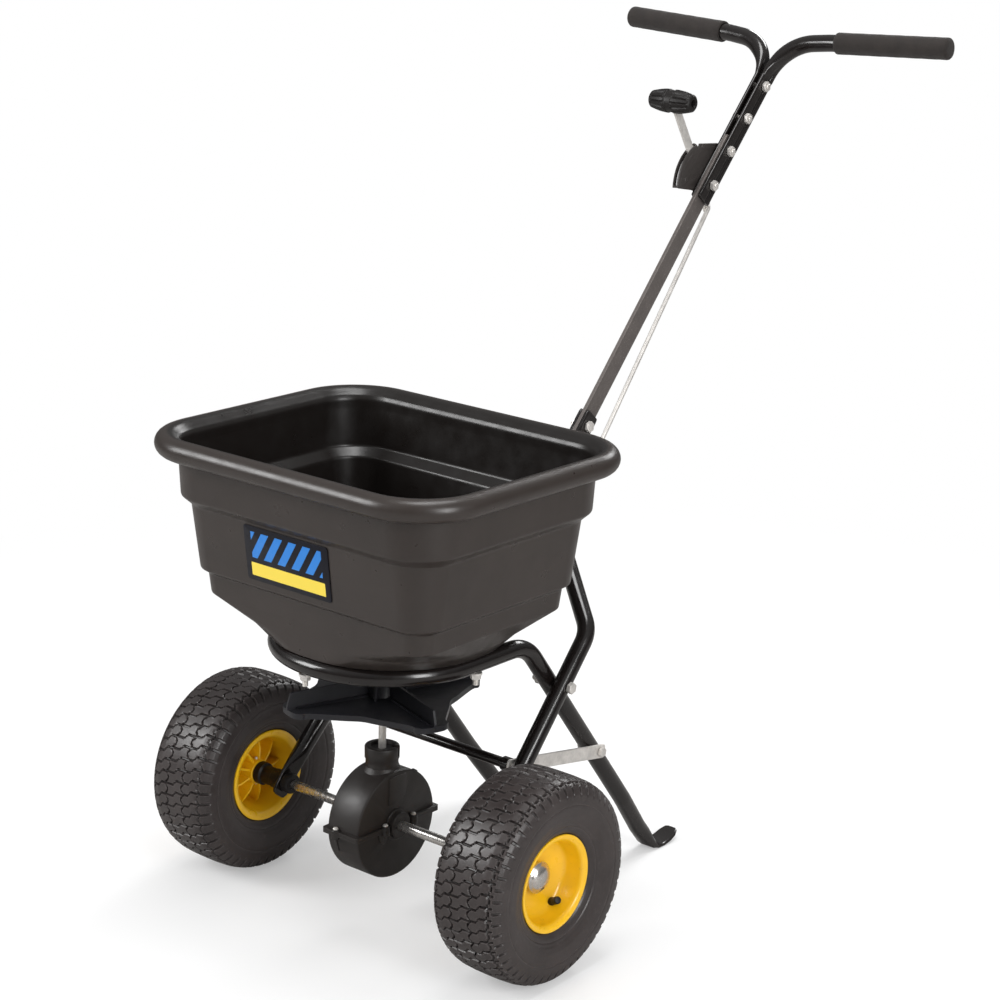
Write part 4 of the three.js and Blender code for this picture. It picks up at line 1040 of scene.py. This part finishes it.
def build_bolts():
    for side, flip in (("right", False), ("left", True)):
        add_bolt("brace_bolt_" + side, (75, 216), flip, head_x=171.6, head_h=5, head_r=7.5, end_x=126, nut_x=None, nut_h=0, nut_r=0, dome=False)
        add_bolt("strap_bolt_" + side, (250, 184), flip, head_x=147.7, head_h=5, head_r=6.6, end_x=112, nut_x=120.9, nut_h=6, nut_r=7, dome=False)
        add_bolt("crossing_bolt_" + side, (156, 301), flip, head_x=166.8, head_h=6, head_r=7.4, end_x=110, nut_x=120.9, nut_h=6, nut_r=7, dome=False)
    add_bolt("base_bolt", BASE_BOLT, False, head_x=8.1, head_h=5.5, head_r=7.5, end_x=-18, nut_x=-8.1, nut_h=6, nut_r=7.5, dome=False)
    for i in (1, 2, 3):
        add_bolt("handle_bolt_%d" % i, JOINTS[i], False, head_x=-8.3, head_h=4, head_r=7.8, end_x=16, nut_x=8.2, nut_h=6, nut_r=7.3, dome=True)
    add_bolt("pivot_bolt", JOINTS[0], False, head_x=-15.2, head_h=4.5, head_r=8, end_x=16, nut_x=8.2, nut_h=6, nut_r=7.3, dome=True)
    for node, x, y in (("ring_bolt_right", RING_R, 18), ("ring_bolt_left", -RING_R, 18), ("ring_bolt_front", -9, -126.5)):
        shapes = [place(threaded(HOPPER_Z + 2.6 - 333, 3.6), (x, y, 333), (0, 0, 1))]
        shapes.append(place(hexagon(6.0, 6.6), (x, y, 340.2), (0, 0, 1)))
        shapes.append(place(lathe([(346.1, 0), (346.1, 7.8), (348.6, 7.8), (348.6, 0)], 32), (x, y, 0), (0, 0, 1)))
        piece(node + "_set", shapes, "frame", "zinc_steel", [node], angle=30)


def build_brace():
    profile = [(-143.9, 0), (-143.9, 8.4), (-143.2, 9), (-133, 9), (-132, 8), (-130.6, 6.5), (130.6, 6.5), (132, 8), (133, 9), (143.2, 9), (143.9, 8.4), (143.9, 0)]
    holes = [rod((-150, 75, 216), (-120, 75, 216), 4.3, 20, 0.1), rod((120, 75, 216), (150, 75, 216), 4.3, 20, 0.1)]
    bar = moved(lathe(profile, 32), 0, 75, 216)
    piece("cross_brace_bar", [bar], "frame", "black_tube", ["cross_brace"], cutters=holes, angle=30)
    for side, face in (("right", lambda s: s), ("left", mirrored)):
        outline = strip((66, 217.3), (259, 182.5), 17.6, 5.0)
        shape = face(prism(outline, 144.3, 147.3, "x"))
        cutters = [face(rod((130, 75, 216), (160, 75, 216), 4.3, 20, 0.1)), face(rod((130, 250, 184), (160, 250, 184), 4.3, 20, 0.1))]
        piece("strap_" + side + "_bar", [shape], "frame", "zinc_steel", ["strap_" + side], cutters=cutters, bevel=0.5, angle=34)


# ------------------------------------------------------------------- hopper

LEVELS = [
    (144, 138, 134, 6, HOPPER_Z), (158, 136, 104, 3, 391), (176, 133.5, 25, 0, 414), (179, 136.5, 27, 0, 440),
    (189, 146, 37, 0, 446), (199.5, 156.5, 47.5, 0, 527), (212, 169, 60, 0, 538), (215, 172, 63, 0, 590),
]
CORNER_STEPS = 22


def level_ring(level):
    hx, hy, rc, yc, z = level
    ring = []
    for quarter in range(4):
        sx = 1 if quarter in (0, 3) else -1
        sy = 1 if quarter < 2 else -1
        for k in range(CORNER_STEPS + 1):
            a = (quarter + k / CORNER_STEPS) * math.pi / 2
            ring.append((sx * (hx - rc) + rc * math.cos(a), yc + sy * (hy - rc) + rc * math.sin(a), z))
        nxt = (quarter + 1) % 4
        a = (quarter + 1) * math.pi / 2
        ex, ey = ring[-1][0], ring[-1][1]
        fx = (1 if nxt in (0, 3) else -1) * (hx - rc) + rc * math.cos(a)
        fy = yc + (1 if nxt < 2 else -1) * (hy - rc) + rc * math.sin(a)
        for k in range(1, 6):
            t = k / 6
            ring.append((ex + (fx - ex) * t, ey + (fy - ey) * t, z))
    return ring


def loft(levels):
    points, faces = [], []
    rings = [level_ring(level) for level in levels]
    n = len(rings[0])
    for ring in rings:
        points += ring
    m = len(rings)
    for j in range(m):
        for k in range(n):
            a, b = j * n, ((j + 1) % m) * n
            q = (k + 1) % n
            faces.append((a + k, a + q, b + q, b + k))
    return points, faces


def softened(levels, reach=2.6, steps=4):
    """Rounds the corners of the wall profile; a close line on each side keeps the flats flat."""
    made = [levels[0]]
    for before, here, after in zip(levels, levels[1:], levels[2:]):
        here = Vector(here)
        back, ahead = Vector(before) - here, Vector(after) - here
        b, f = min(reach, back.length * 0.3), min(reach, ahead.length * 0.3)
        start, end = here + back.normalized() * b, here + ahead.normalized() * f
        made.append(tuple(here + back.normalized() * b * 1.4))
        for k in range(steps + 1):
            t = k / steps
            made.append(tuple(start * (1 - t) ** 2 + here * 2 * t * (1 - t) + end * t * t))
        made.append(tuple(here + ahead.normalized() * f * 1.4))
    made.append(levels[-1])
    return made


def build_hopper():
    def rim(offset, z):
        return (215 + offset, 172 + offset, 63 + offset, 0, z)

    def inset(level, lift):
        hx, hy, rc, yc, z = level
        return (hx - WALL, hy - WALL, rc - WALL, yc, z + lift)

    roll = []
    for k in range(19):
        a = math.radians(-115 + 262 * k / 18)
        roll.append(rim(14.1 + 14 * math.cos(a), 601.5 + 14 * math.sin(a)))
    inner = [rim(-1.2, 606), rim(-WALL, 601), inset(LEVELS[7], 0), inset(LEVELS[6], 2), inset(LEVELS[5], 2), inset(LEVELS[4], 2), inset(LEVELS[3], 2), inset(LEVELS[2], 0), inset(LEVELS[1], 2)]
    inner += [(138, 132, 128, 6, HOPPER_Z + 4), (60, 60, 59, 0, HOPPER_Z + 4), (60, 60, 59, 0, HOPPER_Z)]
    shape = loft(softened(LEVELS + roll[:1]) + roll[1:-1] + softened(roll[-1:] + inner))
    holes = [rod((x, y, 360), (x, y, HOPPER_Z + 2.9), 4.3, 20, 0.1) for x, y in ((RING_R, 18), (-RING_R, 18), (-9, -126.5))]
    obj = fused("hopper_shell", [shape], holes)
    finish_piece(obj, "frame", "hopper_plastic", ["hopper_tub"], angle=50)
    # Painted shade mask: 1 on faces that face inwards towards the hopper's middle, stored as the inner attribute.
    painted_inner_shade = []
    for vertex in obj.data.vertices:
        away = vertex.co - ORIGIN
        lean = away.x * vertex.normal.x + away.y * vertex.normal.y
        painted_inner_shade.append(max(0.0, min(1.0, (0.01 - lean) / 0.05)))
    obj.data.attributes.new("inner", "FLOAT", "POINT").data.foreach_set("value", painted_inner_shade)
    build_label()
    carry("hopper_base_plate", "black_plastic", 0.4)
    carry("shutoff_gate", "zinc_steel", 0.4)


def build_label():
    tilt = math.radians(7.4)
    outline = rounded([(-68, -34.5), (68, -34.5), (68, 34.5), (-68, 34.5)], 4.0, 6)
    points, faces = prism(outline, -0.4, 0.4, "y")
    turned = []
    for x, y, z in points:
        turned.append((x - 14, y * math.cos(tilt) - z * math.sin(tilt) - 152.5, y * math.sin(tilt) + z * math.cos(tilt) + 490))
    piece("label_panel", [(turned, faces)], "frame", "label_print", ["label"], bevel=0.15, angle=34)


# ------------------------------------------------------------------- handle


def beside_pivot(n, h):
    return (JOINTS[0][0] - HANDLE[1] * n + HANDLE[0] * h, JOINTS[0][1] + HANDLE[0] * n + HANDLE[1] * h)


def build_post():
    outline = strip(along_handle(BASE_BOLT, -22), (678.5, 908.6), 25.4, 5.0)
    holes = [rod((-10, *p), (10, *p), 4.3, 20, 0.1) for p in (BASE_BOLT, JOINTS[0], JOINTS[1])]
    piece("handle_post_bar", [prism(outline, -2.5, 2.5, "x")], "frame", "grey_post", ["handle_post"], cutters=holes, bevel=1.1, angle=34, segments=3)


GRIP_INNER = Vector((83, 784.2, 1037.4))
GRIP_OUTER = Vector((261.4, 794.6, 1044.8))


def handle_shape():
    R = 11.5
    stations = []
    start = -26.0
    flat_end = 12.0 + math.hypot(JOINTS[3][0] - JOINTS[0][0], JOINTS[3][1] - JOINTS[0][1])

    def on_joint(distance):
        t = max(0.0, min(1.0, distance / (flat_end - 12.0)))
        y = JOINTS[0][0] + (JOINTS[3][0] - JOINTS[0][0]) * t
        z = JOINTS[0][1] + (JOINTS[3][1] - JOINTS[0][1]) * t
        extra = min(0.0, distance) + max(0.0, distance - (flat_end - 12.0))
        return (y + HANDLE[0] * extra, z + HANDLE[1] * extra)

    for d, a, b in ((start, 1.9, 11.6), (start + 0.8, 2.5, 13.2), (start + 4, 2.5, 13.5)):
        stations.append((Vector((5.4, *on_joint(d))), a, b, a * 0.9))
    for k in range(1, 9):
        d = start + 4 + (flat_end - start - 4) * k / 8
        stations.append((Vector((5.4, *on_joint(d))), 2.5, 13.5, 2.3))
    last = GRIP_INNER.lerp(GRIP_OUTER, 0.975)
    path = bent([(5.9, *on_joint(flat_end + 2)), (12, 777, 1030, 60), (*GRIP_INNER, 200), tuple(last)], 14)
    for i, p in enumerate(path[:-1]):
        t = smooth_step(min(1.0, (i + 1) / 10))
        stations.append((p, 2.5 + (R - 2.5) * t, 13.5 + (R - 13.5) * t, 2.3 + (R - 2.3) * t))
    stations.append((path[-1], R - 0.6, R - 0.6, R - 0.6))
    flats = 11

    def groove(i, u, v):
        """Pressed channel along the flat joint, nearer the rear edge."""
        if i < 1 or i > flats + 3 or u < 0:
            return u
        depth = 2.1 * max(0.0, 1 - max(0, i - flats) / 4)
        near = max(0.0, 1 - abs(v - 3.6) / 3.2)
        return u - depth * smooth_step(min(1.0, near))

    return sweep(stations, (1, 0, 0), 56, groove)


def build_handle():
    shape = handle_shape()
    for side, face in (("right", lambda s: s), ("left", mirrored)):
        holes = [face(rod((0, *p), (20, *p), 4.3, 20, 0.1)) for p in JOINTS]
        piece("handle_tube_" + side + "_bar", [face(shape)], "frame", "black_tube", ["handle_tube_" + side], cutters=holes, angle=36)
        start = GRIP_INNER.lerp(GRIP_OUTER, 0.06)
        length = (GRIP_OUTER - start).length
        profile = [(length - 4, 0), (length - 4, 11.9), (0, 11.9), (0, 13.6), (0.5, 14.3), (1.6, 14.7)]
        for k in range(1, 18):
            a = 1.6 + (length - 6.0) * k / 18
            profile.append((a, 14.6 + 0.12 * math.sin(k * 2.1)))
        profile += [(length - 4.4, 14.7), (length - 2.4, 14.3), (length - 0.9, 13.0), (length - 0.1, 10.4), (length, 7), (length + 0.1, 0)]
        sleeve = place(lathe(profile, 64), start, (GRIP_OUTER - start).normalized())
        piece("grip_" + side + "_foam", [face(sleeve)], "frame", "foam_grip", ["grip_" + side], angle=40)


def arc_points(radius, lo, hi, count):
    made = []
    for i in range(count + 1):
        a = math.radians(lo + (hi - lo) * i / count)
        made.append(beside_pivot(radius * math.cos(a), radius * math.sin(a)))
    return made


def swung(profile, lo, hi, count):
    """Closed (x, radius) profile carried round the lever pivot between two angles in degrees."""
    points, faces = [], []
    n = len(profile)
    for i in range(count + 1):
        a = math.radians(lo + (hi - lo) * i / count)
        for x, r in profile:
            points.append((x, *beside_pivot(r * math.cos(a), r * math.sin(a))))
    for i in range(count):
        for k in range(n):
            m = (k + 1) % n
            faces.append((i * n + k, i * n + m, (i + 1) * n + m, (i + 1) * n + k))
    faces.append(tuple(range(n - 1, -1, -1)))
    faces.append(tuple(range(count * n, count * n + n)))
    return points, faces


def build_quadrant():
    face_outline = [beside_pivot(-11, -12), beside_pivot(13, -19.6), beside_pivot(40.6, -36.1)] + arc_points(50, -41, 34, 40)
    face_outline += [beside_pivot(44, 35), beside_pivot(11, 59.7), beside_pivot(-11, 62)]
    rim = [
        (-17, 51.2), (-17, 56.4), (-16.6, 57.2), (-15.6, 57.6), (-14, 57.5), (-12.2, 56.9), (-10.8, 55.9), (-9.7, 54.4),
        (-8.8, 52.2), (-8.3, 49.6), (-8.2, 46), (-10.7, 46), (-10.8, 51.2),
    ]
    shapes = [prism(face_outline, -10.7, -8.2, "x"), swung(rim, -41, 34, 48)]
    for n, h in ((36, 36), (35, -18.6)):
        shapes.append(place(lathe([(0, 0), (0, 3.4), (1.0, 3.0), (1.7, 1.8), (2.0, 0)], 24), (-8.8, *beside_pivot(n, h)), (1, 0, 0)))
    slot = prism(arc_points(70, -38, 31, 30) + arc_points(50, 31, -38, 30), -15.1, -11.1, "x")
    cutters = [slot, rod((-30, *JOINTS[1]), (0, *JOINTS[1]), 9, 32, 0.1), rod((-30, *JOINTS[0]), (0, *JOINTS[0]), 4.3, 20, 0.1)]
    piece("quadrant_sheet", shapes, "frame", "black_tube", ["quadrant"], cutters=cutters, bevel=0.6, angle=34, look="satin_black")


def knob_warp(along, radius, t):
    a = abs(along)
    if a < 5.2 or a > 31.5 or radius < 8:
        return radius
    fade = min(1.0, (a - 5.2) / 3.0, (31.5 - a) / 3.0)
    return radius - 1.5 * fade * max(0.0, math.cos(14 * t)) ** 1.5


def build_lever():
    bar = prism(strip(beside_pivot(2, 4), beside_pivot(129.2, 43.3), 12.5, 2.0), -14.6, -11.6, "x")
    hub = rod((-14.6, *JOINTS[0]), (-11.6, *JOINTS[0]), 11, 48, 0.1)
    crank = prism(strip(JOINTS[0], along(JOINTS[0], (648.6, 818.3), 8), 14, 6.5), -14.6, -11.6, "x")
    holes = [rod((-30, *JOINTS[0]), (0, *JOINTS[0]), 4.3, 24, 0.1), rod((-30, 648.6, 818.3), (0, 648.6, 818.3), 3.3, 24, 0.1)]
    piece("rate_lever_bar", [bar, hub, crank], "lever", "zinc_steel", ["rate_lever"], cutters=holes, bevel=0.45, angle=34)
    profile = [(-33.5, 0), (-33.5, 8.4), (-33.1, 9.6), (-31.4, 11.6)]
    for k in range(1, 14):
        t = k / 14
        profile.append((-31.4 + 26 * t, 11.6 + 4.1 * math.sin(t * math.pi / 2)))
    profile += [(-5.2, 15.7), (-4.6, 15.2), (-4.2, 14.6), (4.2, 14.6), (4.6, 15.2), (5.2, 15.7)]
    for k in range(1, 14):
        t = 1 - k / 14
        profile.append((31.4 - 26 * t, 11.6 + 4.1 * math.sin(t * math.pi / 2)))
    profile += [(31.4, 11.6), (33.1, 9.6), (33.5, 8.4), (33.5, 5.2), (32.9, 4.8), (24, 4.8), (24, 0)]
    centre = (-13.1, *beside_pivot(129.2, 41.5))
    knob = place(lathe(profile, 112, warp=knob_warp), centre)
    slot = prism(strip(beside_pivot(100.2, 34.35), beside_pivot(129.6, 43.45), 13.1, 0.3), -14.9, -11.3, "x")
    piece("knob_barrel", [knob], "lever", "black_plastic", ["knob"], cutters=[slot], angle=36)


def along(a, b, extra):
    """Point a little beyond b on the line from a."""
    va, vb = Vector(a), Vector(b)
    return tuple(vb + (vb - va).normalized() * extra)


def build_rod():
    path = bent([(-19, 239.5, 381), (-8, 239.5, 381, 4.2), (-8, 418, 515.5, 30), (-8, 648.6, 818.3, 4.2), (-18.5, 648.6, 818.3)], 8)
    shape = sweep(round_stations(path, 3.0, 0.6), (0, -0.6, 0.8), 20)
    piece("control_rod_wire", [shape], "rod", "zinc_steel", ["control_rod"], angle=40)


# -------------------------------------------------------------------- build

build_wheels()
build_axle()
build_gearbox()
build_impeller()
build_ring()
build_side_tubes()
build_bolts()
build_brace()
build_hopper()
build_post()
build_handle()
build_quadrant()
build_lever()
build_rod()
carry("drive_gear", "gear_plastic", 0.2)
carry("pinion_gear", "gear_plastic", 0.2)
carry("neck_bush", "black_plastic", 0.3)

# -------------------------------------------------------------------- stage


def build_stage():
    mesh = bpy.data.meshes.new("floor")
    s = 30.0
    mesh.from_pydata([(-s, -s, 0), (s, -s, 0), (s, s, 0), (-s, s, 0)], [], [(0, 1, 2, 3)])
    floor = bpy.data.objects.new("floor", mesh)
    bpy.context.scene.collection.objects.link(floor)
    look = Look("floor_paper")
    ray = look.nodes.new("ShaderNodeLightPath")
    paper = look.mix(look.noise(3.0), (0.86, 0.86, 0.86, 1.0), (0.90, 0.90, 0.90, 1.0))
    look.color(look.mix(ray.outputs["Is Glossy Ray"], paper, (0.34, 0.33, 0.32, 1.0)))
    look.set(Roughness=0.9)
    far = look.nodes.new("ShaderNodeVectorMath")
    far.operation = "LENGTH"
    look.link(look.coord, far.inputs[0])
    glow = look.nodes.new("ShaderNodeEmission")
    fade = look.nodes.new("ShaderNodeMixShader")
    amount = look.remap(far.outputs["Value"], 0.45, 1.6, 0.35, 1.0)
    look.link(look.math("MULTIPLY", amount, ray.outputs["Is Camera Ray"]), fade.inputs[0])
    look.link(look.bsdf.outputs[0], fade.inputs[1])
    look.link(glow.outputs[0], fade.inputs[2])
    look.link(fade.outputs[0], look.nodes["Material Output"].inputs[0])
    mesh.materials.append(look.mat)

    world = bpy.data.worlds.new("studio")
    world.use_nodes = True
    bpy.context.scene.world = world
    tree = world.node_tree
    back = tree.nodes["Background"]
    coord = tree.nodes.new("ShaderNodeTexCoord")
    split = tree.nodes.new("ShaderNodeSeparateXYZ")
    path = tree.nodes.new("ShaderNodeLightPath")
    tree.links.new(coord.outputs["Generated"], split.inputs[0])

    def height(low_value, high_value):
        made = tree.nodes.new("ShaderNodeMapRange")
        made.inputs["From Min"].default_value = 0.0
        made.inputs["From Max"].default_value = 0.9
        made.inputs["To Min"].default_value = low_value
        made.inputs["To Max"].default_value = high_value
        tree.links.new(split.outputs["Z"], made.inputs["Value"])
        return made.outputs[0]

    def choose(flag, yes, no):
        made = tree.nodes.new("ShaderNodeMix")
        tree.links.new(flag, made.inputs[0])
        for socket, value in ((made.inputs[2], no), (made.inputs[3], yes)):
            if isinstance(value, (int, float)):
                socket.default_value = value
            else:
                tree.links.new(value, socket)
        return made.outputs[0]

    seen = choose(path.outputs["Is Glossy Ray"], height(0.06, 0.42), height(0.34, 0.62))
    tree.links.new(choose(path.outputs["Is Camera Ray"], 1.0, seen), back.inputs[1])
    back.inputs[0].default_value = (1.0, 1.0, 1.0, 1.0)

    def area(name, spot, target, size, power):
        data = bpy.data.lights.new(name, "AREA")
        data.shape = "RECTANGLE"
        data.size, data.size_y = size
        data.energy = power
        lamp = bpy.data.objects.new(name, data)
        lamp.location = spot
        lamp.rotation_mode = "QUATERNION"
        lamp.rotation_quaternion = (Vector(target) - Vector(spot)).to_track_quat("-Z", "Y")
        bpy.context.scene.collection.objects.link(lamp)

    area("key", (-1.7, -2.2, 1.7), (0, -0.1, 0.4), (1.1, 1.3), 52)
    area("side", (2.6, -0.9, 1.3), (0, -0.1, 0.35), (0.8, 1.5), 40)
    area("top", (0.2, -0.1, 3.0), (0, -0.1, 0.4), (1.5, 0.9), 34)
    area("rear", (-0.4, 2.4, 2.0), (0, 0, 0.5), (1.4, 0.6), 24)


def build_camera():
    data = bpy.data.cameras.new("photo_camera")
    data.lens = 89.81
    data.sensor_width = 36.0
    data.clip_end = 60
    camera = bpy.data.objects.new("photo_camera", data)
    camera.location = (1.933494, -2.417329, 1.374818)
    forward = Vector((-0.61378542, 0.73832772, -0.27953467))
    roll = math.radians(1.637)
    right0 = forward.cross(Vector((0, 0, 1))).normalized()
    up0 = right0.cross(forward)
    right = right0 * math.cos(roll) + up0 * math.sin(roll)
    up = right.cross(forward)
    camera.rotation_mode = "QUATERNION"
    camera.rotation_quaternion = Matrix((right, up, -forward)).transposed().to_quaternion()
    bpy.context.scene.collection.objects.link(camera)
    bpy.context.scene.camera = camera


build_stage()
build_camera()
bpy.context.scene.view_settings.view_transform = "Standard"
